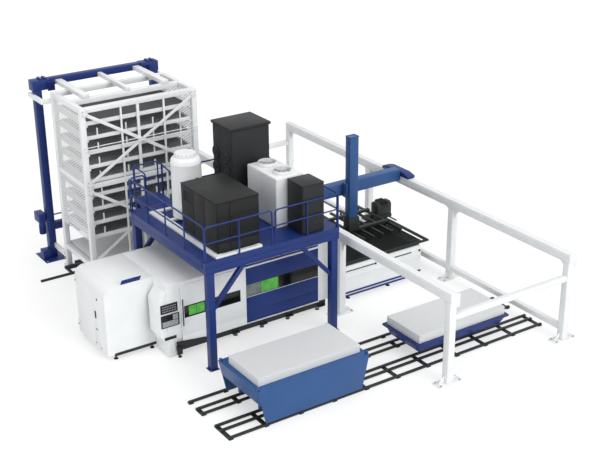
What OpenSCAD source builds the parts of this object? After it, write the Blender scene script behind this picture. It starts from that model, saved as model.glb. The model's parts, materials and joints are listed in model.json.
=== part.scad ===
// Automated laser cutting cell. A cutting machine with an exchange table stands beside a
// storage tower and under a service platform; a loading gantry and two sheet carts serve it.
// All sizes in millimetres. The cell frame has its zero at the front left gantry post.

/* [Gantry] */
// Distance between the two gantry rails
gantry_span = 3940; // [3900:10:4200]
// Distance from the first to the last post of a rail
gantry_len = 13000; // [12900:10:13600]
// Distance from an end post to its neighbour
gantry_bay = 4520; // [4450:10:4600]
// Side of the square posts and width of the rails
gantry_post = 200; // [160:5:220]
// Height of the top of the rails
rail_top = 2475; // [2450:5:2560]
// Height of the rail section
rail_h = 250; // [200:5:280]
// Length of a post base plate
base_l = 750; // [650:10:800]
// Width of a post base plate
base_w = 320; // [280:10:360]
// Thickness of all base plates
base_t = 20; // [12:1:30]
// Side of the square tie beams
tie_s = 150; // [100:5:180]
// Height of the axis of the cross ties
tie_z = 1790; // [1700:5:1900]
// Height of the axis of the low side beams
low_z = 330; // [300:5:400]
// Size of the curved knee plates
knee = 300; // [240:5:360]

/* [Gantry bridge] */
// Place of the bridge along the rails
bridge_y = 6960; // [6800:10:7100]
// Width of the bridge beam
bridge_w = 300; // [240:5:340]
// Height of the bridge beam
bridge_h = 355; // [330:5:400]
// Drop of the bridge beam below the rail top
bridge_drop = 130; // [90:5:170]
// Length of an end carriage
carriage_l = 1250; // [1200:10:1400]
// Height of an end carriage
carriage_h = 150; // [130:5:190]
// Width of the lifting mast
mast_w = 300; // [240:5:340]
// Depth of the lifting mast
mast_d = 230; // [200:5:260]
// Length of the lifting mast
mast_len = 2450; // [2400:10:2700]
// Place of the mast along the bridge
mast_x = 1890; // [1800:10:2000]
// Length of the suction frame
grip_l = 2760; // [2500:10:2900]
// Width of the suction frame
grip_w = 2180; // [2100:10:2240]
// Height of a suction cup
cup_h = 70; // [50:5:90]
// Radius of a suction cup
cup_r = 45; // [30:1:60]

/* [Cutting machine] */
// Length of the cabin
cabin_l = 4960; // [4900:10:5100]
// Depth of the cabin
cabin_d = 2450; // [2420:10:2550]
// Place of the cabin front
cabin_y = 4950; // [4900:10:4980]
// Distance of the cabin end from the left gantry rail axis
cabin_gap = 130; // [110:5:200]
// Height of the cabin
cabin_h = 2050; // [2030:5:2150]
// Thickness of the cabin panels
panel_t = 40; // [25:1:50]
// Height of the lower edge of the panels
panel_z = 305; // [280:5:315]
// Height of the top of the machine base
base_top = 400; // [380:5:450]
// Width of the base beams
beam_w = 150; // [120:5:170]
// Length of the console bay
console_l = 390; // [340:5:420]
// Width of the sliding door
door_w = 1910; // [1800:10:2000]
// Length of the blue front
blue_l = 2360; // [2250:10:2400]
// Thickness of the sliding door
door_t = 50; // [35:1:60]
// Height of the lower edge of the door
door_z = 325; // [320:1:340]
// Height of the top edge of the door
door_top = 1930; // [1850:5:1950]
// Height of the lower edge of the windows
win_z = 1060; // [1000:5:1100]
// Height of the windows
win_h = 310; // [250:5:340]
// Height of the cutting bridge
cut_h = 260; // [230:5:280]
// Bulge of the console housing
pulpit = 200; // [140:5:230]
// Height of the lower edge of the console housing
console_z = 450; // [420:5:480]
// Height of the upper edge of the console housing
console_top = 1900; // [1850:5:1950]
// Height of the slope under the console
console_low = 190; // [150:5:230]
// Height of the slope over the console
console_up = 280; // [240:5:320]
// Height of the lower edge of the screen panel
screen_z = 1300; // [1280:5:1320]
// Height of the screen panel
screen_h = 250; // [220:5:270]
// Height of the lower edge of the key panel
keys_z = 905; // [880:5:920]
// Height of the key panel
keys_h = 345; // [320:5:350]

/* [Electrical cabinet] */
// Length of the electrical cabinet
ecab_l = 1375; // [1300:5:1400]
// Depth of the electrical cabinet
ecab_d = 1745; // [1650:5:1780]
// Height of the underside of the electrical cabinet
ecab_z = 150; // [140:1:180]
// Radius of the rounded roof edge of the electrical cabinet
ecab_r = 250; // [200:5:300]
// Radius of the hinge pins
pin_r = 8; // [6:0.5:10]

/* [Exchange table] */
// Height of the top of the shuttle rails
table_z = 1045; // [1030:5:1060]
// Start of the table along the cell
table_x = 420; // [400:5:500]
// Length of the table
table_l = 2830; // [2700:10:2860]
// Length of the pallet
pallet_l = 3270; // [3200:10:3300]
// Depth of the pallet
pallet_d = 2120; // [2080:10:2140]
// Height of the pallet
pallet_h = 45; // [40:1:60]
// Number of support slats
slats = 24; // [16:1:28]

/* [Service platform] */
// Length of the platform
plat_l = 3970; // [3900:10:4000]
// Depth of the platform
plat_d = 4100; // [4050:10:4200]
// Place of the platform front
plat_y = 3750; // [3650:10:3800]
// Distance of the platform from the left gantry rail axis
plat_gap = 610; // [560:10:680]
// Height of the deck
deck_z = 3000; // [2950:10:3100]
// Side of the square platform columns
plat_col = 190; // [150:5:210]
// Distance of the columns from the platform ends
col_in = 45; // [30:5:60]
// Height of the platform beams
plat_beam = 320; // [260:5:340]
// Height of the railing over the deck
guard_h = 940; // [900:5:1000]
// Side of the railing bars
guard_s = 42; // [34:1:50]
// Length of the stair in plan
stair_l = 2500; // [2400:10:2600]
// Width of the stair
stair_w = 780; // [700:10:820]
// Distance of the landing from the left edge of the platform
land_dx = 520; // [480:10:560]
// Number of stair treads
treads = 11; // [9:1:13]

/* [Platform units] */
// Length of the chiller
chiller_l = 1210; // [1100:5:1230]
// Depth of the chiller
chiller_d = 1770; // [1700:5:1800]
// Height of the chiller
chiller_h = 1330; // [1250:5:1400]
// Distance of the chiller from the left edge of the platform
chiller_dx = 455; // [440:5:500]
// Distance of the chiller from the front edge of the platform
chiller_dy = 180; // [150:5:220]
// Height of the skid rails
skid_h = 60; // [40:2:80]
// Radius of the air tank
tank_r = 395; // [350:5:400]
// Height of the straight part of the tank
tank_h = 1540; // [1450:10:1600]
// Distance of the tank axis from the left edge of the platform
tank_dx = 1080; // [1000:5:1150]
// Distance of the tank axis behind the chiller
tank_dy = 860; // [800:5:900]
// Length of the filter unit
filter_l = 1160; // [1050:5:1180]
// Depth of the filter unit
filter_d = 980; // [880:5:1000]
// Height of the filter unit
filter_h = 2230; // [2100:10:2250]
// Distance of the filter unit from the right edge of the platform
filter_dx = 540; // [520:5:600]
// Distance of the filter unit from the back edge of the platform
filter_dy = 660; // [640:5:730]
// Radius of the cartridge covers
cover_r = 180; // [150:5:190]
// Length of the cooler
cooler_l = 810; // [760:5:830]
// Depth of the cooler
cooler_d = 1390; // [1350:5:1420]
// Height of the cooler
cooler_h = 1350; // [1250:5:1400]
// Distance of the cooler from the right edge of the platform
cooler_dx = 575; // [540:5:620]
// Distance of the cooler from the front edge of the platform
cooler_dy = 825; // [800:5:860]
// Distance between the two fan axes
fan_pitch = 720; // [680:5:760]
// Outer radius of a fan ring
fan_r = 250; // [220:5:270]
// Length of the small cabinet
small_l = 660; // [600:5:680]
// Depth of the small cabinet
small_d = 690; // [640:5:700]
// Height of the small cabinet
small_h = 1335; // [1250:5:1400]
// Distance of the small cabinet from the right edge of the platform
small_dx = 440; // [400:5:480]
// Distance of the small cabinet from the front edge of the platform
small_dy = 60; // [55:1:80]

/* [Storage tower] */
// Length of the tower
tower_l = 3600; // [3560:10:3660]
// Depth of the tower
tower_d = 2040; // [2000:10:2080]
// Place of the tower front
tower_y = 9735; // [9680:5:9750]
// Distance of the tower from the left gantry rail axis
tower_gap = 1365; // [1320:5:1400]
// Height of the tower
tower_h = 5400; // [5380:5:5500]
// Side of the tower columns
tower_col = 150; // [120:5:170]
// Number of storage levels
levels = 9; // [7:1:9]
// Distance of the highest level below the tower top
level_drop = 525; // [500:5:560]
// Height of the lowest level
level_z = 1505; // [1480:5:1540]
// Height of a cassette frame
cassette_h = 105; // [80:5:110]
// Height of the middle beam of the tower
mid_z = 3050; // [3000:5:3100]

/* [Tower lift] */
// Side of the lift columns
lift_col = 220; // [180:5:240]
// Distance of the lift columns behind the tower
lift_gap = 695; // [660:5:730]
// Drop of the lift column tops below the tower top
lift_drop = 120; // [100:5:160]
// Height of the lift head over the tower top
lift_over = 180; // [160:5:220]
// Height of the lift beam at rest
lift_z = 900; // [850:10:950]
// Height of the lift beam
lift_bar = 220; // [200:5:240]
// Radius of the lift shaft
shaft_r = 30; // [24:1:36]

/* [Floor track and carts] */
// Place of the outermost rail of the track
track_y = 860; // [840:5:880]
// Spread of the track rails
track_w = 1870; // [1840:5:1900]
// Length of the track
track_l = 9660; // [9500:10:9700]
// Start of the track along the cell
track_x = -5700; // [-5750:5:-5650]
// Width of a track rail
trail_w = 70; // [50:2:80]
// Height of the top of the track rails
trail_top = 70; // [55:1:80]
// Radius of the cart wheels
wheel_r = 70; // [60:1:75]
// Length of the tall cart
cart_a_l = 3160; // [3000:10:3200]
// Height of the tall cart
cart_a_h = 990; // [950:10:1100]
// Length of the low cart
cart_b_l = 3070; // [2950:10:3100]
// Width of the low cart
cart_b_w = 1500; // [1440:10:1540]
// Height of the low cart
cart_b_h = 550; // [520:10:600]
// Length of a sheet stack
stack_l = 2900; // [2800:10:2940]
// Width of a sheet stack
stack_w = 1340; // [1280:10:1380]
// Height of the stack on the tall cart
stack_a_h = 210; // [60:5:240]
// Height of the stack on the low cart
stack_b_h = 230; // [80:5:260]

/* [Hidden] */
$fn = 48;
// clearance between separate solids
fit = 0.3;
// radial clearance of turning pins
run = 0.05;
white = [0.91, 0.92, 0.92];
blue = [0.19, 0.28, 0.55];
dark = [0.23, 0.23, 0.24];
black = [0.14, 0.16, 0.15];
steel = [0.6, 0.61, 0.63];
sheet = [0.82, 0.83, 0.84];
glass = [0.05, 0.07, 0.06];

// gantry
gp = gantry_post / 2;
posts_y = [0, gantry_bay, gantry_len - gantry_bay, gantry_len];
rail_bot = rail_top - rail_h;
beam_x0 = gp + 20;
beam_z0 = rail_top - bridge_drop;
beam_y0 = bridge_y - bridge_w / 2;
mast_y1 = beam_y0 - 70;
mast_z0 = 1712;
grip_z = table_z + pallet_h + 15 + cup_h;
grip_y = bridge_y + 100;

// machine
cab_x1 = -cabin_gap;
cab_x0 = cab_x1 - cabin_l;
cab_y1 = cabin_y + cabin_d;
roof_z = cabin_h - panel_t;
in_y0 = cabin_y + panel_t;
in_y1 = cab_y1 - panel_t;
bay_x1 = cab_x0 + console_l;
blue_x1 = cab_x1 - (cabin_l - console_l - door_w - blue_l) - 20;
blue_x0 = blue_x1 - blue_l;
door_x0 = bay_x1 + 10;
door_x1 = door_x0 + door_w;
door_y1 = cabin_y - 5;
bed_y0 = cabin_y + cabin_d / 2 - pallet_d / 2 + 50;
bed_y1 = cabin_y + cabin_d / 2 + pallet_d / 2 - 50;
slot_z0 = table_z - 45;
slot_z1 = 1450;
bridge_rail_z = 1400;
ecab_x1 = cab_x0 - fit;
ecab_x0 = ecab_x1 - ecab_l;
ecab_y0 = cab_y1 - ecab_d;
ecab_bend = cabin_h - ecab_r;
hinges_z = [ecab_z + 270, ecab_bend - 100];
hinge_x = ecab_x0 - 15;
hinge_y = cab_y1 - 10;
table_y0 = bed_y0 - 120;
table_y1 = bed_y1 + 120;
pallet_x0 = 330;
pallet_y0 = bed_y0 - 50;
pallet_y1 = bed_y1 + 50;

// platform
pl_x1 = -plat_gap;
pl_x0 = pl_x1 - plat_l;
pl_y1 = plat_y + plat_d;
pl_bot = deck_z - 10 - plat_beam;
land_x0 = pl_x0 + land_dx;
land_x1 = land_x0 + 780;
land_y1 = pl_y1 + stair_w;
chiller_x = pl_x0 + chiller_dx;
chiller_y = plat_y + chiller_dy;
tank_x = pl_x0 + tank_dx;
tank_y = chiller_y + chiller_d + tank_dy;
filter_x = pl_x1 - filter_dx - filter_l;
filter_y = pl_y1 - filter_dy - filter_d;
cooler_x = pl_x1 - cooler_dx - cooler_l;
cooler_y = plat_y + cooler_dy;
fans_y = [cooler_y + (cooler_d - fan_pitch) / 2, cooler_y + (cooler_d + fan_pitch) / 2];
fan_x = cooler_x + cooler_l / 2;
fan_z = deck_z + cooler_h;
small_x = pl_x1 - small_dx - small_l;
small_y = plat_y + small_dy;

// tower
tw_x1 = -tower_gap;
tw_x0 = tw_x1 - tower_l;
tw_y1 = tower_y + tower_d;
level_h = (tower_h - level_drop - level_z) / (levels - 1);
roof_y = tower_y + 0.405 * tower_d;
lift_h = tower_h - lift_drop;
lift_top = tower_h + lift_over;
lift_y0 = tw_y1 + lift_gap;
lift_yc = lift_y0 + lift_col / 2;
lift_xa = tw_x0 - 75;
lift_xb = tw_x1 + 75;
shaft_y = lift_y0 + lift_col + 110;
shaft_z = lift_z + 360;
drive_x = lift_xa - lift_col / 2 - 30;

// track
rails_y = [track_y, track_y + 0.2 * track_w, track_y + 0.325 * track_w,
           track_y + 0.665 * track_w, track_y + 0.8 * track_w, track_y + track_w];
cart_y = track_y + track_w / 2 - 65;
back_a = tower_y + 0.632 * tower_d;
back_b = tw_y1 - 0.177 * tower_d;
axle_z = trail_top + wheel_r + fit;
cart_a_x = -4960;
cart_a_y0 = track_y - 40;
cart_a_y1 = 2 * cart_y - cart_a_y0;
taper_a = 200;
cart_b_x = -70;
cart_b_y0 = track_y + track_w / 2 + 15 - cart_b_w / 2;
cart_b_z0 = trail_top + 2 * wheel_r + 30;
taper_b = 110;

// middle of the footprint
left_end = 32 - ecab_x0;
cell_x = (gantry_span + base_l / 2 - left_end) / 2;
cell_y = gantry_len / 2;

module cell() { translate([-cell_x, -cell_y, 0]) children(); }
module blk(a, b) { translate(a) cube([b[0] - a[0], b[1] - a[1], b[2] - a[2]]); }
// prism with an XZ outline between two Y places
module prism_y(y0, y1, pts) {
  translate([0, y1, 0]) rotate([90, 0, 0]) linear_extrude(y1 - y0) polygon(pts);
}
// prism with a YZ outline between two X places
module prism_x(x0, x1, pts) {
  translate([x0, 0, 0]) rotate([90, 0, 90]) linear_extrude(x1 - x0) polygon(pts);
}
module rod_x(x0, x1, y, z, r) { translate([x0, y, z]) rotate([0, 90, 0]) cylinder(r = r, h = x1 - x0); }
module rod_y(y0, y1, x, z, r) { translate([x, y0, z]) rotate([-90, 0, 0]) cylinder(r = r, h = y1 - y0); }
module rod_z(z0, z1, x, y, r) { translate([x, y, z0]) cylinder(r = r, h = z1 - z0); }
// levelling foot with pad and spindle
module foot(x, y, top) {
  translate([x, y, 0]) {
    rotate_extrude() polygon([[0, 0], [60, 0], [60, 18], [22, 34], [0, 34]]);
    rod_z(34 + fit, top, 0, 0, 22);
  }
}

module post_columns() {
  color(white) cell() for (x = [0, gantry_span], y = posts_y)
    blk([x - gp, y - gp, base_t + fit], [x + gp, y + gp, rail_bot - fit]);
}

// base plates with side gussets
module post_bases() {
  color(white) cell() for (x = [0, gantry_span], y = posts_y) {
    blk([x - base_l / 2, y - base_w / 2, 0], [x + base_l / 2, y + base_w / 2, base_t]);
    for (s = [-1, 1])
      prism_y(y - 10, y + 10, [[x + s * (gp + fit), base_t + fit],
        [x + s * (base_l / 2 - 60), base_t + fit], [x + s * (gp + fit), base_t + 220]]);
  }
}

module rail_beams() {
  color(white) cell() for (x = [0, gantry_span])
    blk([x - gp, -gp, rail_bot], [x + gp, gantry_len + gp, rail_top]);
}

// curved plates between the posts and the rails
module post_knees() {
  color(white) cell() for (x = [0, gantry_span], i = [0:3], s = [-1, 1])
    if ((i > 0 || s > 0) && (i < 3 || s < 0))
      translate([x - 12, posts_y[i] + s * (gp + fit), rail_bot - fit]) difference() {
        translate([0, s > 0 ? 0 : -knee, -knee]) cube([24, knee, knee]);
        translate([-1, s * knee, -knee]) rotate([0, 90, 0]) cylinder(r = knee - 30, h = 26);
      }
}

module gantry_ties() {
  h = tie_s / 2;
  color(white) cell() {
    for (y = [0, gantry_len])
      blk([gp + fit, y - h, tie_z - h], [gantry_span - gp - fit, y + h, tie_z + h]);
    for (i = [0:2])
      blk([gantry_span - h, posts_y[i] + gp + fit, low_z - h],
          [gantry_span + h, posts_y[i + 1] - gp - fit, low_z + h]);
  }
}

// brackets at the rail ends
module rail_brackets() {
  color(white) cell() for (x = [0, gantry_span], y = [0, gantry_len])
    blk([x + gp + fit, y - 40, rail_bot - 200], [x + gp + 160, y + 40, rail_top - 90]);
}

module bridge_girder() {
  color(blue) cell()
    blk([beam_x0, beam_y0, beam_z0], [gantry_span - beam_x0, beam_y0 + bridge_w, beam_z0 + bridge_h]);
}

module end_carriages() {
  a = carriage_l / 2; z = rail_top + fit; t = z + carriage_h;
  y = bridge_y + 120;
  pts = [[y - a, z], [y + a, z], [y + a, z + carriage_h * 0.55],
    [y + a * 0.6, t], [y - a * 0.6, t], [y - a, z + carriage_h * 0.55]];
  color(blue) cell() {
    prism_x(-gp - 60, beam_x0 - fit, pts);
    prism_x(gantry_span - beam_x0 + fit, gantry_span + gp + 60, pts);
  }
}

// slide plate and cheeks that hold the mast
module mast_guide() {
  z0 = beam_z0 - 20; z1 = beam_z0 + bridge_h + 60; w = mast_w / 2;
  color(blue) cell() {
    blk([mast_x - w - 60, mast_y1 + fit, z0], [mast_x + w + 60, beam_y0 - fit, z1]);
    for (s = [-1, 1])
      blk([mast_x + (s > 0 ? w + fit : -w - 60), mast_y1 - 150, z0],
          [mast_x + (s > 0 ? w + 60 : -w - fit), mast_y1, z1]);
  }
}

module lift_mast() {
  color(blue) cell()
    blk([mast_x - mast_w / 2, mast_y1 - mast_d, mast_z0],
        [mast_x + mast_w / 2, mast_y1, mast_z0 + mast_len]);
}

module grip_head() {
  color(black) cell()
    blk([mast_x - mast_w / 2 - 30, mast_y1 - mast_d - 30, grip_z + 130 + fit],
        [mast_x + mast_w / 2 + 30, mast_y1 + 30, mast_z0 - fit]);
}

// spine and cross arms
module grip_arms() {
  color(black) cell() {
    for (y = [mast_y1 - mast_d / 2, grip_y + 0.25 * grip_w])
      blk([mast_x - grip_l / 2, y - 60, grip_z + 60 + fit], [mast_x + grip_l / 2, y + 60, grip_z + 130]);
    for (i = [-4:4]) let (x = mast_x + i * (grip_l - 80) / 8)
      blk([x - 40, grip_y - grip_w / 2, grip_z], [x + 40, grip_y + grip_w / 2, grip_z + 60]);
  }
}

module suction_cups() {
  color(black) cell() for (i = [-2:2], j = [-1.5, -0.5, 0.5, 1.5])
    translate([mast_x + i * (grip_l - 80) / 4, grip_y + j * (grip_w - 120) / 3, grip_z - cup_h])
      rotate_extrude($fn = 24) polygon([[0, 0], [cup_r, 0], [cup_r * 0.6, cup_h * 0.4],
        [cup_r * 0.4, cup_h * 0.4], [cup_r * 0.4, cup_h - fit], [0, cup_h - fit]]);
}

// welded base beams
module machine_base() {
  x0 = cab_x0 + panel_t + fit; x1 = cab_x1 - panel_t - fit; y0 = in_y0 + 10; y1 = in_y1 - 10;
  color(black) cell() {
    for (y = [y0, y1 - beam_w]) blk([x0, y, 100], [x1, y + beam_w, base_top]);
    for (i = [0:3]) let (x = x0 + i * (x1 - x0 - beam_w) / 3)
      blk([x, y0 + beam_w + fit, 150], [x + beam_w, y1 - beam_w - fit, base_top]);
    blk([ecab_x0 + 190, ecab_y0 + 10, 100], [ecab_x1 - 10, ecab_y0 + 60, ecab_z - fit]);
    blk([ecab_x0 + 190, cab_y1 - 60, 100], [ecab_x1 - 10, cab_y1 - 10, ecab_z - fit]);
  }
}

module levelling_feet() {
  l = cabin_l - 2 * panel_t;
  color(black) cell() {
    for (i = [0.05, 0.41, 0.58, 0.75, 0.95], y = [in_y0 + 70, in_y1 - 70])
      foot(cab_x0 + panel_t + i * l, y, 100 - fit);
    for (x = [ecab_x0 + 240, ecab_x1 - 100], y = [ecab_y0 + 65, cab_y1 - 65]) foot(x, y, 100 - fit);
    for (i = [0.1, 0.6, 0.95], y = [table_y0 + 90, table_y1 - 90])
      foot(table_x + i * table_l, y, 100 - fit);
  }
}

// left, back and slotted right wall
module wall_plates() {
  t = panel_t; z1 = roof_z - fit; yb = in_y1;
  color(white) cell() {
    blk([cab_x0, in_y0 + fit, panel_z], [cab_x0 + t, yb, z1]);
    blk([cab_x0, yb + fit, panel_z], [cab_x1, cab_y1, z1]);
    blk([cab_x1 - t, in_y0 + fit, panel_z], [cab_x1, yb, slot_z0]);
    blk([cab_x1 - t, in_y0 + fit, slot_z1], [cab_x1, yb, z1]);
    blk([cab_x1 - t, in_y0 + fit, slot_z0 + fit], [cab_x1, pallet_y0 - 25, slot_z1 - fit]);
    blk([cab_x1 - t, pallet_y1 + 25, slot_z0 + fit], [cab_x1, yb, slot_z1 - fit]);
  }
}

module roof_plate() {
  color(white) cell() blk([cab_x0, cabin_y, roof_z], [cab_x1, cab_y1, cabin_h]);
}

// white fixed parts of the front
module front_plates() {
  z1 = roof_z - fit;
  color(white) cell() {
    blk([cab_x0, cabin_y, panel_z], [bay_x1, in_y0, z1]);
    blk([bay_x1 + fit, cabin_y, door_top - 30], [blue_x0 - fit, in_y0, z1]);
    blk([blue_x1 + fit, cabin_y, panel_z], [cab_x1, in_y0, z1]);
  }
}

// blue fixed parts of the front, above and below the window
module blue_panels() {
  y0 = cabin_y; y1 = in_y0; zm = 640;
  color(blue) cell() {
    blk([blue_x0, y0, win_z + win_h + 65], [blue_x1, y1, roof_z - fit]);
    blk([blue_x0, y0, zm + 2], [blue_x1, y1, win_z + 15]);
    blk([blue_x0, y0 + 4, zm - 8], [blue_x1, y1, zm + 1.7]);
    blk([blue_x0, y0, panel_z - 20], [blue_x1, y1, zm - 8.3]);
  }
}

module fixed_window() {
  color(glass) cell()
    blk([blue_x0, cabin_y + 8, win_z + 15 + fit], [blue_x1, in_y0 - 8, win_z + win_h + 65 - fit]);
}

module door_rails() {
  color(white) cell() {
    blk([door_x0, cabin_y - 45, door_top + fit], [blue_x1, cabin_y - fit, door_top + 40]);
    blk([door_x0, cabin_y - 45, panel_z], [blue_x1, cabin_y - fit, door_z - fit]);
  }
}

module front_door() {
  color(white) cell() difference() {
    blk([door_x0, door_y1 - door_t, door_z], [door_x1, door_y1, door_top]);
    blk([door_x0 + 80, door_y1 - door_t - 1, win_z], [door_x1 - 190, door_y1 + 1, win_z + win_h]);
  }
}

module door_window() {
  color(glass) cell()
    blk([door_x0 + 80 + fit, door_y1 - door_t + 6, win_z + fit],
        [door_x1 - 190 - fit, door_y1 - 6, win_z + win_h - fit]);
}

module door_handle() {
  color(black) cell()
    blk([door_x0 + 10, door_y1 - door_t - 30, 840], [door_x0 + 38, door_y1 - door_t - fit, 1600]);
}

// rounded out control console at the corner of the cabin
module console_housing() {
  x = cab_x0 - fit;
  color(white) cell()
    prism_y(cabin_y, ecab_y0 - 80, [[x, console_z], [x, console_top],
      [x - pulpit, console_top - console_up], [x - pulpit, console_z + console_low]]);
}

module console_screen() {
  color(dark) cell()
    blk([cab_x0 - pulpit + 20, cabin_y - 20, screen_z],
        [bay_x1 - 90, cabin_y - fit, screen_z + screen_h]);
}

module console_keys() {
  color(dark) cell()
    blk([cab_x0 - pulpit + 20, cabin_y - 35, keys_z], [bay_x1 - 60, cabin_y - fit, keys_z + keys_h]);
}

// girders that carry the shuttle rails inside the cabin
module bed_girders() {
  color(dark) cell() for (y = [bed_y0 - 50, bed_y1 - 50])
    blk([cab_x0 + 140, y, base_top + fit], [cab_x1 - 120, y + 100, table_z - 40 - fit]);
}

// uprights and rails of the cutting bridge
module bridge_supports() {
  color(dark) cell() for (y = [in_y0 + 12, in_y1 - 72]) {
    blk([cab_x0 + 90, y, bridge_rail_z], [cab_x1 - 120, y + 60, bridge_rail_z + 80]);
    for (x = [cab_x0 + 90, cab_x0 + cabin_l / 2 - 40, cab_x1 - 180])
      blk([x, y, base_top + fit], [x + 60, y + 60, bridge_rail_z - fit]);
  }
}

module cutting_bridge() {
  x = cab_x0 + cabin_l / 2;
  color(white) cell()
    blk([x - 150, in_y0 + 12, bridge_rail_z + 80 + fit], [x + 150, in_y1 - 12, bridge_rail_z + 80 + cut_h]);
}

module head_carriage() {
  x = cab_x0 + cabin_l / 2 + 150; y = cabin_y + cabin_d / 2;
  color(blue) cell()
    blk([x + fit, y - 150, bridge_rail_z + 100], [x + 140, y + 150, bridge_rail_z + 380]);
}

// sliding head with a nozzle
module cutting_head() {
  x = cab_x0 + cabin_l / 2 + 290 + fit; y = cabin_y + cabin_d / 2;
  z = table_z + pallet_h;
  color(dark) cell() {
    blk([x, y - 60, z + 130 + fit], [x + 120, y + 60, bridge_rail_z + 330]);
    translate([x + 60, y, z + 30]) cylinder(r1 = 8, r2 = 40, h = 100);
  }
}

// floor, roof with its rounded edge, and three walls
module cabinet_shell() {
  t = panel_t; x0 = ecab_x0; x1 = ecab_x1; y0 = ecab_y0; y1 = cab_y1; z0 = ecab_z; zb = ecab_bend;
  xr = x0 + ecab_r; ri = ecab_r - t - fit; zw = z0 + t + fit;
  side = concat([[x0, zw], [x1, zw], [x1, roof_z - fit]],
    [for (a = [90:10:180]) [xr + ri * cos(a), zb + ri * sin(a)]],
    [[x0 + t + fit, zb - fit], [x0, zb - fit]]);
  color(white) cell() {
    blk([x0, y0, z0], [x1, y1, z0 + t]);
    blk([xr + fit, y0, roof_z], [x1, y1, cabin_h]);
    intersection() {
      blk([x0 - 1, y0, zb], [xr, y1, cabin_h + 1]);
      difference() {
        rod_y(y0, y1, xr, zb, ecab_r);
        rod_y(y0 - 1, y1 + 1, xr, zb, ecab_r - t);
      }
    }
    for (y = [y0, y1 - t]) prism_y(y, y + t, side);
    blk([x1 - t, y0 + t + fit, zw], [x1, y1 - t - fit, roof_z - fit]);
  }
}

// door with hinge eyes and grip
module cabinet_door() {
  z0 = ecab_z + panel_t + 2; z1 = ecab_bend - 2; y0 = ecab_y0 + panel_t + 2; y1 = cab_y1 - panel_t - 4;
  color(white) cell() {
    blk([ecab_x0, y0, z0], [ecab_x0 + 36, y1, z1]);
    for (z = hinges_z) difference() {
      union() {
        rod_z(z, z + 80, hinge_x, hinge_y, pin_r + 6);
        blk([hinge_x - 6, y1 - 60, z], [ecab_x0 - fit, hinge_y - pin_r - 3, z + 80]);
      }
      rod_z(z - 1, z + 81, hinge_x, hinge_y, pin_r + run);
    }
    blk([ecab_x0 - 32, ecab_y0 + 570, 1040], [ecab_x0 - fit, ecab_y0 + 605, 1200]);
  }
}

// fixed hinge pins with their lugs
module cabinet_pins() {
  color(steel) cell() for (z = hinges_z) {
    rod_z(z - 30, z + 80, hinge_x, hinge_y, pin_r);
    blk([hinge_x - 10, hinge_y - 10, z - 70], [ecab_x0 - fit, hinge_y + 8, z - 30 - fit]);
  }
}

module nameplate() {
  x = ecab_x0 + 485; y = ecab_y0 + 10; z = cabin_h + fit;
  color(blue) cell()
    prism_y(y, y + 8, [[x, z], [x + 540, z], [x + 585, z + 110], [x + 45, z + 110]]);
}

// side housings and cross beams
module table_frame() {
  x0 = table_x; x1 = table_x + table_l; z1 = table_z - 40 - fit;
  color(white) cell() {
    for (y = [table_y0, table_y1 - 220]) blk([x0, y, 100], [x1, y + 220, z1]);
    for (i = [0:2]) let (x = x0 + 200 + i * (table_l - 600) / 2)
      blk([x, table_y0 + 220 + fit, 300], [x + 200, table_y1 - 220 - fit, 500]);
    blk([x0 + 20, table_y0 - 40, 690], [x1 - 40, table_y0 - fit, 740]);
  }
}

// coloured strips along the foot of the table
module table_trim() {
  color(blue) cell() for (z = [105, 205])
    blk([table_x, table_y0 - 12, z], [table_x + table_l, table_y0 - fit, z + 35]);
}

// tray that catches scrap under the slats
module scrap_tray() {
  color(dark) cell() blk([table_x + 20, table_y0 + 220 + fit, table_z - 120],
      [table_x + table_l - 20, table_y1 - 220 - fit, table_z - 100]);
}

module shuttle_rails() {
  color(steel) cell() for (y = [bed_y0, bed_y1])
    blk([cab_x0 + 140, y - 30, table_z - 40], [table_x + table_l, y + 30, table_z - fit]);
}

module pallet_frame() {
  x0 = pallet_x0; x1 = x0 + pallet_l; w = 100;
  color(black) cell() {
    for (y = [pallet_y0, pallet_y1 - w]) blk([x0, y, table_z], [x1, y + w, table_z + pallet_h - 10]);
    for (x = [x0, x1 - w])
      blk([x, pallet_y0 + w + fit, table_z], [x + w, pallet_y1 - w - fit, table_z + pallet_h - 10]);
  }
}

module pallet_slats() {
  p = (pallet_l - 200) / (slats + 1);
  color(black) cell() for (i = [1:slats])
    blk([pallet_x0 + 95 + i * p, pallet_y0 + 100 + fit, table_z + 10],
        [pallet_x0 + 105 + i * p, pallet_y1 - 100 - fit, table_z + pallet_h]);
}

// shuttle motor on its bracket, with a drive rod
module shuttle_drive() {
  x = pallet_x0 + pallet_l - 120; y = table_y1 + fit;
  color(black) cell() {
    blk([table_x + table_l - 200, y, table_z - 60], [x + 450, y + 380, table_z + 40]);
    prism_x(x - 80, x + 440, [[y + 20, table_z + 40 + fit], [y + 360, table_z + 40 + fit],
      [y + 360, table_z + 370], [y + 300, table_z + 450], [y + 80, table_z + 450],
      [y + 20, table_z + 370]]);
    rod_y(y - 420, y - fit, x + 300, table_z - 10, 22);
  }
}

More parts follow.
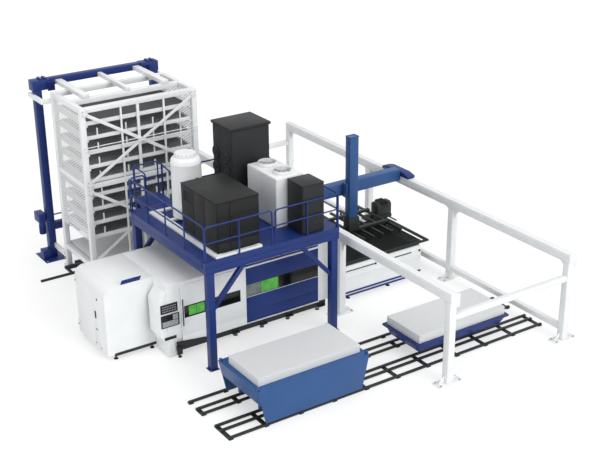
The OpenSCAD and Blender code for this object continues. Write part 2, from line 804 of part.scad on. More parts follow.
// columns, foot plates, two layers of edge beams and knee braces
module platform_frame() {
  c = plat_col; z = pl_bot; m = z + plat_beam / 2;
  color(blue) cell() {
    for (x = [pl_x0 + col_in, pl_x1 - c - col_in], y = [plat_y, pl_y1 - c]) {
      blk([x, y, base_t + fit], [x + c, y + c, z - fit]);
      blk([x - 40, y - 30, 0], [x + c + 40, y + c + 30, base_t]);
    }
    for (y = [plat_y, pl_y1 - c]) {
      blk([pl_x0, y, z], [pl_x1, y + c, m - fit]);
      blk([pl_x0, y, m], [pl_x1, y + c - 40, deck_z - 10 - fit]);
    }
    for (x = [pl_x0, pl_x1 - c]) {
      blk([x, plat_y + c + fit, z], [x + c, pl_y1 - c - fit, m - fit]);
      blk([x, plat_y + c + fit, m], [x + c - 40, pl_y1 - c - fit, deck_z - 10 - fit]);
    }
    for (y = [plat_y + 40, pl_y1 - 150]) {
      a = pl_x0 + col_in + c + fit; b = pl_x1 - col_in - c - fit; t = z - fit;
      prism_y(y, y + 110, [[a, t - 1050], [a, t - 890], [a + 800, t], [a + 950, t]]);
      prism_y(y, y + 110, [[b, t - 1050], [b, t - 890], [b - 800, t], [b - 950, t]]);
    }
  }
}

module platform_deck() {
  color(blue) cell() {
    blk([pl_x0, plat_y, deck_z - 10], [pl_x1, pl_y1, deck_z]);
    blk([land_x0, pl_y1 + fit, deck_z - 110], [land_x1, land_y1, deck_z]);
  }
}

// railing bar of a run along X or, turned, along Y
module guard_bar(x, y, turned, a, b) {
  if (turned) blk([y, x + a[0], a[2]], [y + guard_s, x + b[0], b[2]]);
  else blk([x + a[0], y, a[2]], [x + b[0], y + guard_s, b[2]]);
}
// railing run with n bays: posts, and two rails between each pair of posts
module guard(x0, x1, y, n, turned = false) {
  s = guard_s; z = deck_z + fit; h = guard_h - fit; p = (x1 - x0 - s) / n;
  for (i = [0:n]) guard_bar(x0, y, turned, [i * p, 0, z], [i * p + s, 0, z + h - s - fit]);
  for (i = [0:n - 1])
    guard_bar(x0, y, turned, [i * p + s + fit, 0, z + h / 2], [i * p + p - fit, 0, z + h / 2 + s]);
  guard_bar(x0, y, turned, [0, 0, z + h - s], [x1 - x0, 0, z + h]);
}

module platform_railing() {
  s = guard_s; xm = (pl_x0 + pl_x1) / 2; g = 12;
  color(blue) cell() {
    guard(plat_y + s + g, pl_y1 - g, pl_x0 + 5, 4, true);
    guard(plat_y + s + g, pl_y1 - s - g, pl_x1 - s - 5, 4, true);
    guard(pl_x0 + 5, xm - 30, plat_y + 5, 2);
    guard(xm + 30, pl_x1 - 5, plat_y + 5, 2);
    guard(land_x1 + g, pl_x1 - 5, pl_y1 - s - 5, 3);
    guard(pl_x0 + 5 + s + g, land_x0 - g, pl_y1 - s - 5, 1);
    guard(land_x0 + 5, land_x1, land_y1 - s - 5, 1);
    guard(pl_y1 + g, land_y1 - s - g, land_x0 + 5, 1, true);
  }
}

// stringers, treads, hand rails and landing legs
module platform_stair() {
  x0 = land_x1 + fit; l = stair_l; z = deck_z; y0 = pl_y1 + 60; y1 = land_y1 - 20;
  p = (z - 60) / (treads + 1); q = l / (treads + 1);
  k = (z - 230) / (l - 40);
  color(blue) cell() {
    for (y = [y0, y1 - 12])
      prism_y(y, y + 12, [[x0, z - 260], [x0, z - 10], [x0 + l, 240], [x0 + l, 0], [x0 + l - 200, 0]]);
    for (i = [1:treads])
      blk([x0 + i * q - 70, y0 + 12 + fit, z - i * p - 60],
          [x0 + i * q + 120, y1 - 12 - fit, z - i * p - 30]);
    for (y = [y0 - 42 - fit, y1 + fit]) {
      prism_y(y, y + 42, [[x0 + 40, z + 850], [x0 + 40, z + 900], [x0 + l, 1130], [x0 + l, 1080]]);
      for (i = [0.04, 0.5, 0.96])
        let (d = i * l, zz = z - 170 - i * (z - 250), zt = z + 849 - k * (d - 40))
        prism_y(y, y + 42, [[x0 + d, zz], [x0 + d + 42, zz], [x0 + d + 42, zt - 42 * k], [x0 + d, zt]]);
    }
    for (x = [land_x0 + 20, land_x1 - 120])
      blk([x, land_y1 - 120, 0], [x + 100, land_y1 - 20, deck_z - 110 - fit]);
  }
}

module chiller() {
  x = chiller_x; y = chiller_y; z = deck_z + skid_h + fit;
  color(dark) cell() blk([x, y, z], [x + chiller_l, y + chiller_d, z + chiller_h]);
}

// long rails under the chiller and the tank
module unit_skid() {
  y1 = tank_y + tank_r + 400;
  color(white) cell() {
    for (x = [[chiller_x - 120, chiller_x + 120], [chiller_x + chiller_l - 120, chiller_x + chiller_l]])
      blk([x[0], chiller_y - 120, deck_z + fit], [x[1], y1, deck_z + skid_h]);
    for (y = [chiller_y - 120, tank_y - 60, y1 - 120])
      blk([chiller_x + 120 + fit, y, deck_z + fit],
          [chiller_x + chiller_l - 120 - fit, y + 120, deck_z + skid_h]);
  }
}

module air_tank() {
  r = tank_r; h = tank_h;
  color(white) cell() translate([tank_x, tank_y, deck_z + skid_h + fit])
    rotate_extrude() polygon([[0, 0], [r, 0], [r, h], [r * 0.95, h + 60], [r * 0.78, h + 110],
      [r * 0.72, h + 120], [r * 0.72, h + 210], [0, h + 225]]);
}

// filter housing, roof slab and cartridge covers
module filter_unit() {
  x = filter_x; y = filter_y; z = deck_z + fit; h = filter_h;
  color(dark) cell() {
    blk([x, y, z], [x + filter_l, y + filter_d, z + h]);
    blk([x - 38, y - 32, z + h + fit], [x + filter_l + 38, y + filter_d + 32, z + h + 70]);
    for (cy = [0.33, 0.87], cz = [0.46, 0.65])
      rod_x(x - 45, x - fit, y + cy * (filter_d - 20), z + cz * h, cover_r * 0.95);
  }
}

// cooler housing with two fan rings
module cooler() {
  x = cooler_x; y = cooler_y; z = deck_z + fit;
  color(white) cell() {
    blk([x, y, z], [x + cooler_l, y + cooler_d, fan_z - fit]);
    for (fy = fans_y) difference() {
      rod_z(fan_z, fan_z + 90, fan_x, fy, fan_r);
      rod_z(fan_z - 1, fan_z + 91, fan_x, fy, fan_r - 18);
    }
  }
}

// hub with blades
module fan_rotor(fy) {
  color(dark) cell() translate([fan_x, fy, fan_z]) {
    cylinder(r = 80, h = 70);
    for (i = [0:5]) rotate([0, 0, i * 60]) translate([60, -30, 25]) cube([fan_r - 95, 60, 20]);
  }
}
module fan_a() { fan_rotor(fans_y[0]); }
module fan_b() { fan_rotor(fans_y[1]); }

module small_cabinet() {
  color(dark) cell()
    blk([small_x, small_y, deck_z + fit], [small_x + small_l, small_y + small_d, deck_z + small_h]);
}

// columns, edge beams, roof beams, lift arms and level brackets
module tower_beams() {
  c = tower_col; t = tower_h; x0 = tw_x0; x1 = tw_x1; y0 = tower_y; y1 = tw_y1;
  color(white) cell() {
    for (x = [x0, x1 - c], y = [y0, y1 - c]) {
      blk([x, y, base_t + fit], [x + c, y + c, t]);
      blk([x - 50, y - 50, 0], [x + c + 50, y + c + 50, base_t]);
    }
    for (y = [y0, y1 - c]) blk([x0 + c + fit, y, t - 140], [x1 - c - fit, y + c, t]);
    blk([x0 + c + fit, y0, mid_z], [x1 - c - fit, y0 + 60, mid_z + 140]);
    for (x = [x0, x1 - c], z = [600, mid_z, t - 140])
      blk([x, y0 + c + fit, z], [x + c, y1 - c - fit, z + 140]);
    blk([x0 + c + fit, roof_y, t - 140], [x1 - c - fit, roof_y + 180, t]);
    for (b = [[0.13, 200], [0.5, 120], [0.82, 200]]) let (x = x0 + b[0] * tower_l)
      blk([x, roof_y, t + fit], [x + b[1], lift_y0 + 10 - fit, t + 120]);
    for (s = [-1, 1]) {
      e = s < 0 ? lift_xa : lift_xb; g = lift_col / 2; a = e + s * (g + fit); b = e + s * (g + 90);
      blk([min(a, b), y1 + fit, lift_h - 220], [max(a, b), lift_y0 + lift_col + 110, lift_h - 90]);
      blk([s < 0 ? a + 2 * fit : x1 - c, y1 + fit, lift_h - 220],
          [s < 0 ? x0 + c : a - 2 * fit, y1 + 90, lift_h - 90]);
      blk([s < 0 ? e + 30 : e - g, y1 + fit, 330], [s < 0 ? e + g : e - 30, lift_y0 - fit, 480]);
    }
    for (i = [0:levels - 1], x = [x0 + c + fit, x1 - c - 75]) let (z = level_z + i * level_h)
      blk([x, y0 + 70, z - 50], [x + 75 - fit, y1, z - fit]);
    for (x = [x0 + c + fit, x1 - c - 75]) blk([x, y0 + 70, 610], [x + 75 - fit, y1, 660 - fit]);
    for (i = [0.33, 0.47, 0.7]) let (x = x0 + i * tower_l, w = i == 0.47 ? 80 : 50) {
      blk([x, y0, mid_z + 140 + fit], [x + w, y0 + 50, t - 140 - fit]);
      blk([x, y0, 760], [x + w, y0 + 50, mid_z - fit]);
    }
  }
}

// flat diagonals and tie rods of the front
module tower_braces() {
  x0 = tw_x0 + 40; x1 = tw_x1 - 40; y = tower_y - fit; zt = tower_h - 60;
  color(white) cell() for (z = [[mid_z + 60, zt], [760, mid_z + 40]]) {
    prism_y(y - 12, y, [[x0, z[1]], [x0, z[1] - 110], [x1, z[0]], [x1, z[0] + 110]]);
    prism_y(y - 24 - fit, y - 12 - fit, [[x1, z[1]], [x1, z[1] - 110], [x0, z[0]], [x0, z[0] + 110]]);
  }
}

// screens of both sides
module tower_mesh() {
  c = tower_col;
  color(white) cell() for (x = [tw_x0 + 12, tw_x1 - 18],
      z = [[1480, mid_z - fit], [mid_z + 140 + fit, tower_h - 140 - fit]])
    blk([x, tower_y + c + fit, z[0]], [x + 6, tw_y1 - c - fit, z[1]]);
}

// storage frames with stakes, and the tray under them
module cassettes() {
  x0 = tw_x0 + tower_col + 35; x1 = tw_x1 - tower_col - 35;
  y0 = tower_y + 90; y1 = tw_y1 - 20; w = 60;
  color(white) cell() {
    for (i = [0:levels - 1]) let (z = level_z + i * level_h, h = cassette_h) {
      for (y = [y0, y1 - w]) blk([x0, y, z], [x1, y + w, z + h]);
      for (x = [x0, x1 - w]) blk([x, y0 + w + fit, z], [x + w, y1 - w - fit, z + h]);
      if (i < levels - 1) for (k = [0.1, 0.37, 0.63, 0.9])
        blk([x0 + k * (x1 - x0) - 20, y0 + 10, z + h + fit],
            [x0 + k * (x1 - x0) + 20, y0 + 40, z + h + 200]);
    }
    blk([x0, y0, 660], [x1, y1, 760 - fit]);
  }
}

// storage decks between the frame beams
module cassette_decks() {
  x0 = tw_x0 + tower_col + 95 + fit; x1 = tw_x1 - tower_col - 95 - fit;
  y0 = tower_y + 150 + fit; y1 = tw_y1 - 80 - fit;
  color(dark) cell() for (i = [0:levels - 1]) let (z = level_z + i * level_h + 40)
    blk([x0, y0, z], [x1, y1, z + 30]);
}

// lift columns, base plates, head beam and drive
module lift_frame() {
  c = lift_col; h = c / 2; y0 = lift_y0; y1 = y0 + c; z = lift_h;
  color(blue) cell() {
    for (x = [lift_xa, lift_xb]) {
      blk([x - 380, y0 - 290, 0], [x + 280, y1 + 350, base_t]);
      blk([x - h, y0, base_t + fit], [x + h, y1, z]);
      blk([x - h - 30, y1 + fit, shaft_z - 70], [x + h + 30, shaft_y - 50, shaft_z + 70]);
    }
    for (x = [[lift_xa - h - 60, lift_xa + h + 240], [lift_xb - h - 345, lift_xb + h]])
      blk([x[0], y0 - 50, z + fit], [x[1], y1 + 50, lift_top]);
    blk([lift_xa + h + 240 + fit, y0 + 10, lift_top - 200],
        [lift_xb - h - 345 - fit, y1 - 10, lift_top - fit]);
    blk([lift_xa - 360, y0 - 60, base_t + fit], [lift_xa - h - fit, y0 + 190, 320]);
    for (x = [lift_xa, lift_xb]) difference() {
      blk([x - 60, shaft_y - 50 + fit, shaft_z - 70], [x + 60, shaft_y + 70, shaft_z + 70]);
      rod_x(x - 61, x + 61, shaft_y, shaft_z, shaft_r + run);
    }
    blk([drive_x - c, y0 + 10, shaft_z - 60], [drive_x - fit, shaft_y + 80, shaft_z + c]);
    rod_z(shaft_z - 2 * c, shaft_z - 60 - fit, drive_x - h, y0 + h, 95);
  }
}

// lifting beam with fork arms
module lift_beam() {
  h = lift_col / 2; x0 = lift_xa + h + fit; x1 = lift_xb - h - fit; y0 = lift_y0 + 10; z = lift_z;
  color(blue) cell() {
    blk([x0, y0, z], [x1, y0 + lift_col - 20, z + lift_bar]);
    for (i = [0.15, 0.5, 0.85]) let (x = x0 + i * (x1 - x0))
      blk([x - 60, tw_y1 + 40, z + 60], [x + 60, y0 - fit, z + 140]);
  }
}

module lift_shaft() {
  color(steel) cell() rod_x(drive_x, lift_xb + lift_col, shaft_y, shaft_z, shaft_r);
}

// floor rails and sleepers in front of the cell, and the rails under the tower
module floor_track() {
  w = trail_w / 2; s = 20; x0 = track_x; x1 = track_x + track_l; t = trail_top;
  color(black) cell() {
    for (y = rails_y) blk([x0 - 60, y - w, s + fit], [x1 + 60, y + w, t]);
    for (i = [0:10]) let (x = x0 + i * track_l / 10) {
      blk([x - 60, rails_y[0] - 45, 0], [x + 60, rails_y[2] + 45, s]);
      blk([x - 60, rails_y[3] - 45, 0], [x + 60, rails_y[4] + 45, s]);
      blk([x - 60, rails_y[5] - 60, 0], [x + 60, rails_y[5] + 60, s]);
    }
    blk([tw_x0 - 1100, back_a, 0], [tw_x1, back_a + trail_w, 60]);
    blk([tw_x0 - 150, back_b, 0], [tw_x1, back_b + tower_col, 80]);
    blk([tw_x0 - 150, back_a + trail_w + fit, 0], [tw_x0 - 70, back_b - fit, 60]);
  }
}

// tapered cart with tall cheeks, end aprons and a deck
module cart_a() {
  x0 = cart_a_x; x1 = x0 + cart_a_l; y0 = cart_a_y0; y1 = cart_a_y1;
  z1 = cart_a_h; z0 = trail_top + 20;
  k = taper_a / (z1 - z0); za = 560;
  side = [[x0, z1], [x0 + taper_a, z0], [x1 - taper_a, z0], [x1, z1]];
  color(blue) cell() {
    for (y = [y0, y1 - 30]) prism_y(y, y + 30, side);
    blk([x0 + 60, y0 + 30 + fit, z1 - 60], [x1 - 60, y1 - 30 - fit, z1]);
    for (m = [0, 1]) let (e = m ? x1 : x0, d = m ? -1 : 1) {
      prism_y(y0 + 30 + fit, y1 - 30 - fit, [[e + d * (z1 - za) * k, za], [e + d * 59.7, z1 - 60 - fit],
        [e + d * 59.7, z1], [e, z1]]);
      for (y = [y0 + 40, y1 - 100])
        blk([min(e + d * 5, e + d * 65), y, z1 + fit], [max(e + d * 5, e + d * 65), y + 60, z1 + 70]);
    }
    for (y = [rails_y[1] + 60, rails_y[4] - 160])
      blk([x0 + 330, y, axle_z + 25 + fit], [x1 - 330, y + 100, axle_z + 145]);
    for (x = [x0 + 630, x1 - 730], y = [rails_y[1] + 60, rails_y[4] - 160])
      blk([x, y, axle_z + 145 + fit], [x + 100, y + 100, z1 - 60 - fit]);
  }
}

// axle with two wheels
module wheelset(x, ya, yb) {
  color(black) cell() {
    for (y = [ya, yb]) rod_y(y - 25, y + 25, x, axle_z, wheel_r);
    rod_y(ya + 25 + fit, yb - 25 - fit, x, axle_z, 25);
  }
}
module cart_a_wheels_1() { wheelset(cart_a_x + 680, rails_y[1], rails_y[4]); }
module cart_a_wheels_2() { wheelset(cart_a_x + cart_a_l - 680, rails_y[1], rails_y[4]); }

// low cart with a tapered tray, a rim and axle saddles
module cart_b() {
  x0 = cart_b_x; x1 = x0 + cart_b_l; y0 = cart_b_y0; y1 = y0 + cart_b_w;
  z1 = cart_b_h; z0 = cart_b_z0; r = 60; zr = z1 - r - fit; t = r + taper_b;
  color(blue) cell() {
    intersection() {
      prism_y(y0 - 10, y1 + 10, [[x0 + r, zr], [x0 + t, z0], [x1 - t, z0], [x1 - r, zr]]);
      prism_x(x0 - 10, x1 + 10, [[y0 + r, zr], [y0 + t, z0], [y1 - t, z0], [y1 - r, zr]]);
    }
    blk([x0 + r + fit, y0 + r + fit, z1 - r], [x1 - r - fit, y1 - r - fit, z1 - 10]);
    for (y = [y0, y1 - r]) blk([x0, y, z1 - r], [x1, y + r, z1]);
    for (x = [x0, x1 - r]) blk([x, y0 + r + fit, z1 - r], [x + r, y1 - r - fit, z1]);
    for (x = [x0 + 600, x1 - 700], y = [rails_y[2] + 40, rails_y[3] - 140])
      blk([x, y, axle_z + 25 + fit], [x + 100, y + 100, z0 - fit]);
  }
}
module cart_b_wheels_1() { wheelset(cart_b_x + 650, rails_y[2], rails_y[3]); }
module cart_b_wheels_2() { wheelset(cart_b_x + cart_b_l - 650, rails_y[2], rails_y[3]); }

// stack of sheets on the tall cart
module stack_a() {
  y = (cart_a_y0 + cart_a_y1) / 2 - 35; x = cart_a_x + cart_a_l / 2; z = cart_a_h;
  color(sheet) cell()
    blk([x - stack_l / 2, y - stack_w / 2, z + fit], [x + stack_l / 2, y + stack_w / 2, z + stack_a_h]);
}

// stack of sheets on the low cart
module stack_b() {
  y = cart_b_y0 + cart_b_w / 2; x = cart_b_x + cart_b_l / 2; z = cart_b_h - 10;
  color(sheet) cell()
    blk([x - stack_l / 2, y - stack_w / 2, z + fit], [x + stack_l / 2, y + stack_w / 2, z + stack_b_h]);
}

// joined sub-parts
module gantry_posts() { post_columns(); post_bases(); post_knees(); }
module gantry_rails() { rail_beams(); rail_brackets(); }
module bridge_beam() { bridge_girder(); mast_guide(); }
module suction_frame() { grip_head(); grip_arms(); }
module cabin_walls() { wall_plates(); roof_plate(); }
module front_panels() { front_plates(); door_rails(); }
module console_panels() { console_screen(); console_keys(); }
module machine_bed() { bed_girders(); bridge_supports(); shuttle_rails(); scrap_tray(); }
module tower_frame() { tower_beams(); tower_braces(); }

gantry_posts();
gantry_rails();
gantry_ties();
bridge_beam();
end_carriages();
lift_mast();
suction_frame();
suction_cups();
machine_base();
levelling_feet();
cabin_walls();
front_panels();
blue_panels();
fixed_window();
front_door();
door_window();
door_handle();
console_housing();
console_panels();
machine_bed();
cutting_bridge();
head_carriage();
cutting_head();
cabinet_shell();
cabinet_door();
cabinet_pins();
nameplate();
table_frame();
table_trim();
pallet_frame();
pallet_slats();
shuttle_drive();
platform_frame();
platform_deck();
platform_railing();
platform_stair();
chiller();
unit_skid();
air_tank();
filter_unit();
cooler();
fan_a();
fan_b();
small_cabinet();
tower_frame();
tower_mesh();
cassettes();
cassette_decks();
lift_frame();
lift_beam();
lift_shaft();
floor_track();
cart_a();
cart_a_wheels_1();
cart_a_wheels_2();
cart_b();
cart_b_wheels_1();
cart_b_wheels_2();
stack_a();
stack_b();
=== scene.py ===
"""Dresses the laser cutting cell: finishes for every solid, and the pieces that the solids leave plain."""
import json
import math

import bpy
from mathutils import Matrix, Vector


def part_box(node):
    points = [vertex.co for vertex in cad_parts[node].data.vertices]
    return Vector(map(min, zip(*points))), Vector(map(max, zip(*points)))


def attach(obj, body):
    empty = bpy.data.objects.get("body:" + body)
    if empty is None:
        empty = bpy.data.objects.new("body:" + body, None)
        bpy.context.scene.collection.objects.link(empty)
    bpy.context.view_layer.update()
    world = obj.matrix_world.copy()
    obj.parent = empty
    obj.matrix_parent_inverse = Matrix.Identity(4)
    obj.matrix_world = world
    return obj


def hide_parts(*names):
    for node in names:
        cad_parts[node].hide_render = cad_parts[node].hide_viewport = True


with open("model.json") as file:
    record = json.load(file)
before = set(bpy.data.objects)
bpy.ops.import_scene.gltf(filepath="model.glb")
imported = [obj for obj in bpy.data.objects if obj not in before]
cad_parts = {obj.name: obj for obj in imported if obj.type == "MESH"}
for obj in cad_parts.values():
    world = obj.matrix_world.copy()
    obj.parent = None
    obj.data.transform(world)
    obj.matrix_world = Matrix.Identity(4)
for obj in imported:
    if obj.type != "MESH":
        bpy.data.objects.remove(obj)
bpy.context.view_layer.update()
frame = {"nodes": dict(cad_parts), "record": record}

NODES = frame["nodes"]
BODY_OF = {n: b for b, group in frame["record"]["behaviour"]["bodies"].items() for n in group}
SLOT_OF = {p["node"]: p["material_slot"] for p in frame["record"]["subparts"]}

TO_FRONT = Matrix.Rotation(math.pi / 2, 4, "X")
TO_LEFT = Matrix.Rotation(-math.pi / 2, 4, "Y")
BASE_PLATE = 0.02                   # thickness of every base plate, in metres as all sizes here
SMOOTH_BELOW = math.radians(35)     # edges sharper than this stay sharp to the eye


# Modelling helpers

def work_on(piece):
    bpy.ops.object.select_all(action="DESELECT")
    piece.select_set(True)
    bpy.context.view_layer.objects.active = piece
    return piece


def set_in_place(piece):
    work_on(piece)
    bpy.ops.object.transform_apply(location=True, rotation=True, scale=True)
    return piece


def block(lo, hi):
    """A box between two corners, as the start of a piece."""
    lo, hi = Vector(lo), Vector(hi)
    bpy.ops.object.select_all(action="DESELECT")
    bpy.ops.mesh.primitive_cube_add(size=1, location=(lo + hi) / 2)
    bpy.context.object.scale = hi - lo
    return set_in_place(bpy.context.object)


def drum(centre, radius, length, axis="Z", sides=32):
    """A round bar about its middle."""
    turn = {"X": (0, math.pi / 2, 0), "Y": (-math.pi / 2, 0, 0), "Z": (0, 0, 0)}[axis]
    bpy.ops.object.select_all(action="DESELECT")
    bpy.ops.mesh.primitive_cone_add(vertices=sides, radius1=radius, radius2=radius, depth=length,
                                    location=centre, rotation=turn)
    return set_in_place(bpy.context.object)


def choose(piece, test):
    """Goes into edit mode with the faces chosen whose middle and normal pass the test."""
    work_on(piece)
    mesh = piece.data
    for group in (mesh.vertices, mesh.edges, mesh.polygons):
        group.foreach_set("select", [False] * len(group))
    for face in mesh.polygons:
        face.select = test(face.center, face.normal)
    bpy.ops.object.mode_set(mode="EDIT")
    bpy.ops.mesh.select_mode(type="FACE")


def done():
    bpy.ops.object.mode_set(mode="OBJECT")


def facing(x=0, y=0, z=0):
    way = Vector((x, y, z))
    return lambda middle, normal: normal.dot(way) > 0.9


def recess(piece, test, margin, depth, lip=0.002):
    """Sinks the chosen faces inside a margin, as a pressed panel."""
    choose(piece, test)
    bpy.ops.mesh.inset(thickness=margin, use_individual=True)
    bpy.ops.mesh.inset(thickness=lip, depth=-depth, use_individual=True)
    done()
    return piece


def apply_modifier(piece, kind, **settings):
    work_on(piece)
    modifier = piece.modifiers.new("shape", kind)
    for key, value in settings.items():
        setattr(modifier, key, value)
    bpy.ops.object.modifier_apply(modifier=modifier.name)
    return piece


def soften(piece, width, segments=2, angle=40):
    """Rounds the edges that are sharper than the angle, and gives the rounding the second finish."""
    return apply_modifier(piece, "BEVEL", width=width, segments=segments, limit_method="ANGLE",
                          angle_limit=math.radians(angle), use_clamp_overlap=True, material=1)


def cut(piece, *cutters):
    """Takes the cutters away from the piece."""
    for cutter in cutters:
        apply_modifier(piece, "BOOLEAN", operation="DIFFERENCE", solver="EXACT", object=cutter)
        bpy.data.objects.remove(cutter)
    return piece


def copies(piece, steps):
    """Copies of a pattern piece, each with its own mesh, moved or turned by its step. The pattern goes."""
    made = []
    for step in steps:
        twin = bpy.data.objects.new(piece.name, piece.data.copy())
        bpy.context.scene.collection.objects.link(twin)
        twin.data.transform(step if isinstance(step, Matrix) else Matrix.Translation(step))
        made.append(twin)
    bpy.data.objects.remove(piece)
    return made


def join(pieces):
    pieces = list(pieces)
    work_on(pieces[0])
    for other in pieces[1:]:
        other.select_set(True)
    if len(pieces) > 1:
        bpy.ops.object.join()
    return bpy.context.object


def soften_all(pieces, width, segments=2):
    """Rounds each piece by itself, then joins them."""
    return join([soften(piece, width, segments) for piece in pieces])


def teeth(tooth, way, taper, middle, count, step):
    """A row along Y of one tooth, drawn in about its middle at the tip, which is up or down."""
    choose(tooth, facing(z=way))
    bpy.ops.transform.resize(value=(1, taper, 1), center_override=(0, middle, 0))
    done()
    return apply_modifier(tooth, "ARRAY", count=count, use_relative_offset=False, use_constant_offset=True,
                          constant_offset_displace=(0, step, 0))


def turned(outline, centre, axis="Z", sides=40):
    """A round piece raised ring by ring through points of radius and height, then laid along its axis."""
    (radius, height), *rest = outline
    bpy.ops.object.select_all(action="DESELECT")
    bpy.ops.mesh.primitive_circle_add(vertices=sides, radius=radius, fill_type="NGON", location=(0, 0, height))
    piece = set_in_place(bpy.context.object)
    bpy.ops.object.mode_set(mode="EDIT")
    bpy.ops.mesh.select_all(action="SELECT")
    for wider, higher in rest:
        bpy.ops.mesh.extrude_region_move(TRANSFORM_OT_translate={"value": (0, 0, higher - height)})
        bpy.ops.transform.resize(value=(wider / radius, wider / radius, 1), center_override=(0, 0, higher))
        radius, height = wider, higher
    bpy.ops.mesh.select_all(action="SELECT")
    bpy.ops.mesh.normals_make_consistent(inside=False)
    done()
    lay = {"Y": Matrix.Rotation(-math.pi / 2, 4, "X"), "Z": Matrix.Identity(4)}[axis]
    piece.data.transform(Matrix.Translation(centre) @ lay)
    return piece


def bent_tube(points, radius, bend=0.0, sides=3):
    """A tube along straight runs whose corners are bent on a radius."""
    points = [Vector(p) for p in points]
    path = [points[0]]
    for before, corner, after in zip(points, points[1:], points[2:]):
        start = corner + (before - corner).normalized() * bend
        stop = corner + (after - corner).normalized() * bend
        path += [start.lerp(corner, t).lerp(corner.lerp(stop, t), t) for t in row(0, 1, 7)]
    path.append(points[-1])
    curve = bpy.data.curves.new("tube", "CURVE")
    curve.dimensions = "3D"
    curve.bevel_depth = radius
    curve.bevel_resolution = sides
    curve.use_fill_caps = True
    spline = curve.splines.new("POLY")
    spline.points.add(len(path) - 1)
    for spot, place in zip(spline.points, path):
        spot.co = (*place, 1)
    piece = bpy.data.objects.new("tube", curve)
    bpy.context.scene.collection.objects.link(piece)
    work_on(piece)
    bpy.ops.object.convert(target="MESH")
    return bpy.context.object


def lattice(width, height, pitch, bar, thick):
    """An expanded metal screen in XY: a slanted grid cut to size, each cell opened, then made thick."""
    reach = math.hypot(width, height)
    cells = int(reach / pitch) + 2
    bpy.ops.object.select_all(action="DESELECT")
    bpy.ops.mesh.primitive_grid_add(x_subdivisions=cells, y_subdivisions=cells, size=cells * pitch,
                                    rotation=(0, 0, math.pi / 4))
    piece = set_in_place(bpy.context.object)
    bpy.ops.object.mode_set(mode="EDIT")
    for way in ((1, 0, 0), (-1, 0, 0), (0, 1, 0), (0, -1, 0)):
        bpy.ops.mesh.select_all(action="SELECT")
        edge = Vector((way[0] * width / 2, way[1] * height / 2, 0))
        bpy.ops.mesh.bisect(plane_co=edge, plane_no=way, clear_outer=True)
    bpy.ops.mesh.select_all(action="SELECT")
    bpy.ops.mesh.inset(thickness=bar / 2, use_individual=True)
    bpy.ops.mesh.delete(type="FACE")
    done()
    return apply_modifier(piece, "SOLIDIFY", thickness=thick, offset=0)


def plates(lo, hi, side, across, up, gap, depth):
    """Cover plates on the front or left side of a housing, split at shares of its width and height,
    with open seams between."""
    lo, hi = Vector(lo), Vector(hi)
    axis, flat = (0, 1) if side == "-X" else (1, 0)
    made = []
    for a0, a1 in zip((0, *across), (*across, 1)):
        for b0, b1 in zip((0, *up), (*up, 1)):
            near, far = lo.copy(), hi.copy()
            near[flat], far[flat] = [lo[flat] + (hi[flat] - lo[flat]) * t for t in (a0, a1)]
            near[2], far[2] = [lo[2] + (hi[2] - lo[2]) * t for t in (b0, b1)]
            far[axis] = lo[axis] + depth
            near[flat], far[flat] = near[flat] + gap / 2, far[flat] - gap / 2
            near[2], far[2] = near[2] + gap / 2, far[2] - gap / 2
            made.append(block(near, far))
    return made


def louvre(lo, hi, side, count):
    """Slanted blades in a shallow opening on the front or left side."""
    lo, hi = Vector(lo), Vector(hi)
    pitch, slant = (hi.z - lo.z) / count, math.radians(35)
    blade = block(lo, (hi.x, hi.y, lo.z + pitch * 0.3))
    middle = sum((v.co for v in blade.data.vertices), Vector()) / len(blade.data.vertices)
    lean = Matrix.Rotation(-slant, 4, "Y") if side == "-X" else Matrix.Rotation(slant, 4, "X")
    blade.data.transform(Matrix.Translation(middle) @ lean @ Matrix.Translation(-middle))
    return join(copies(blade, [(0, 0, pitch * (i + 0.35)) for i in range(count)]))


def anchor_nut(radius):
    """Washer, hexagon nut and stud end, standing on the origin."""
    washer, round_off = 0.006, radius * 0.1
    return join([soften(drum((0, 0, washer / 2), radius * 1.3, washer, sides=20), 0.001, 1),
                 soften(drum((0, 0, washer + radius * 0.45), radius, radius * 0.9, sides=6), round_off, 1),
                 soften(drum((0, 0, radius * 0.9), radius * 0.5, radius * 1.6, sides=12), round_off, 1)])


def nuts_at(places, radius, axis="Z"):
    """Nuts on a flat face, standing up from it or out to the front."""
    lay = {"Z": Matrix.Identity(4), "-Y": TO_FRONT}[axis]
    return join(copies(anchor_nut(radius), [Matrix.Translation(place) @ lay for place in places]))


def around(columns, across, along):
    """Four places on the base plate of each column."""
    return [(x + dx, y + dy, BASE_PLATE) for x, y in columns for dx in (-across, across)
            for dy in (-along, along)]


def row(start, stop, count):
    return [start + (stop - start) * i / (count - 1) for i in range(count)]


def finish(piece, name, coat, body="cell", stands_for=()):
    """Names a piece, gives it its finish and ties it to the body that it moves with."""
    piece.name = name
    piece.data.name = name
    piece.data.materials.clear()
    for finish_layer in (coat if isinstance(coat, tuple) else (coat,)):
        piece.data.materials.append(finish_layer)
    work_on(piece)
    bpy.ops.object.shade_smooth_by_angle(angle=SMOOTH_BELOW)
    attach(piece, body)
    if stands_for:
        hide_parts(*stands_for)
    return piece


def cad_copy(name):
    """A copy of a solid with its loose triangles merged into whole flat faces."""
    piece = bpy.data.objects.new(name + "_dressed", NODES[name].data.copy())
    bpy.context.scene.collection.objects.link(piece)
    work_on(piece)
    bpy.ops.mesh.customdata_custom_splitnormals_clear()
    bpy.ops.object.mode_set(mode="EDIT")
    bpy.ops.mesh.select_all(action="SELECT")
    bpy.ops.mesh.remove_doubles(threshold=0.00005)
    bpy.ops.mesh.dissolve_limited(angle_limit=math.radians(0.5))
    done()
    piece.data.polygons.foreach_set("material_index", [0] * len(piece.data.polygons))
    return piece


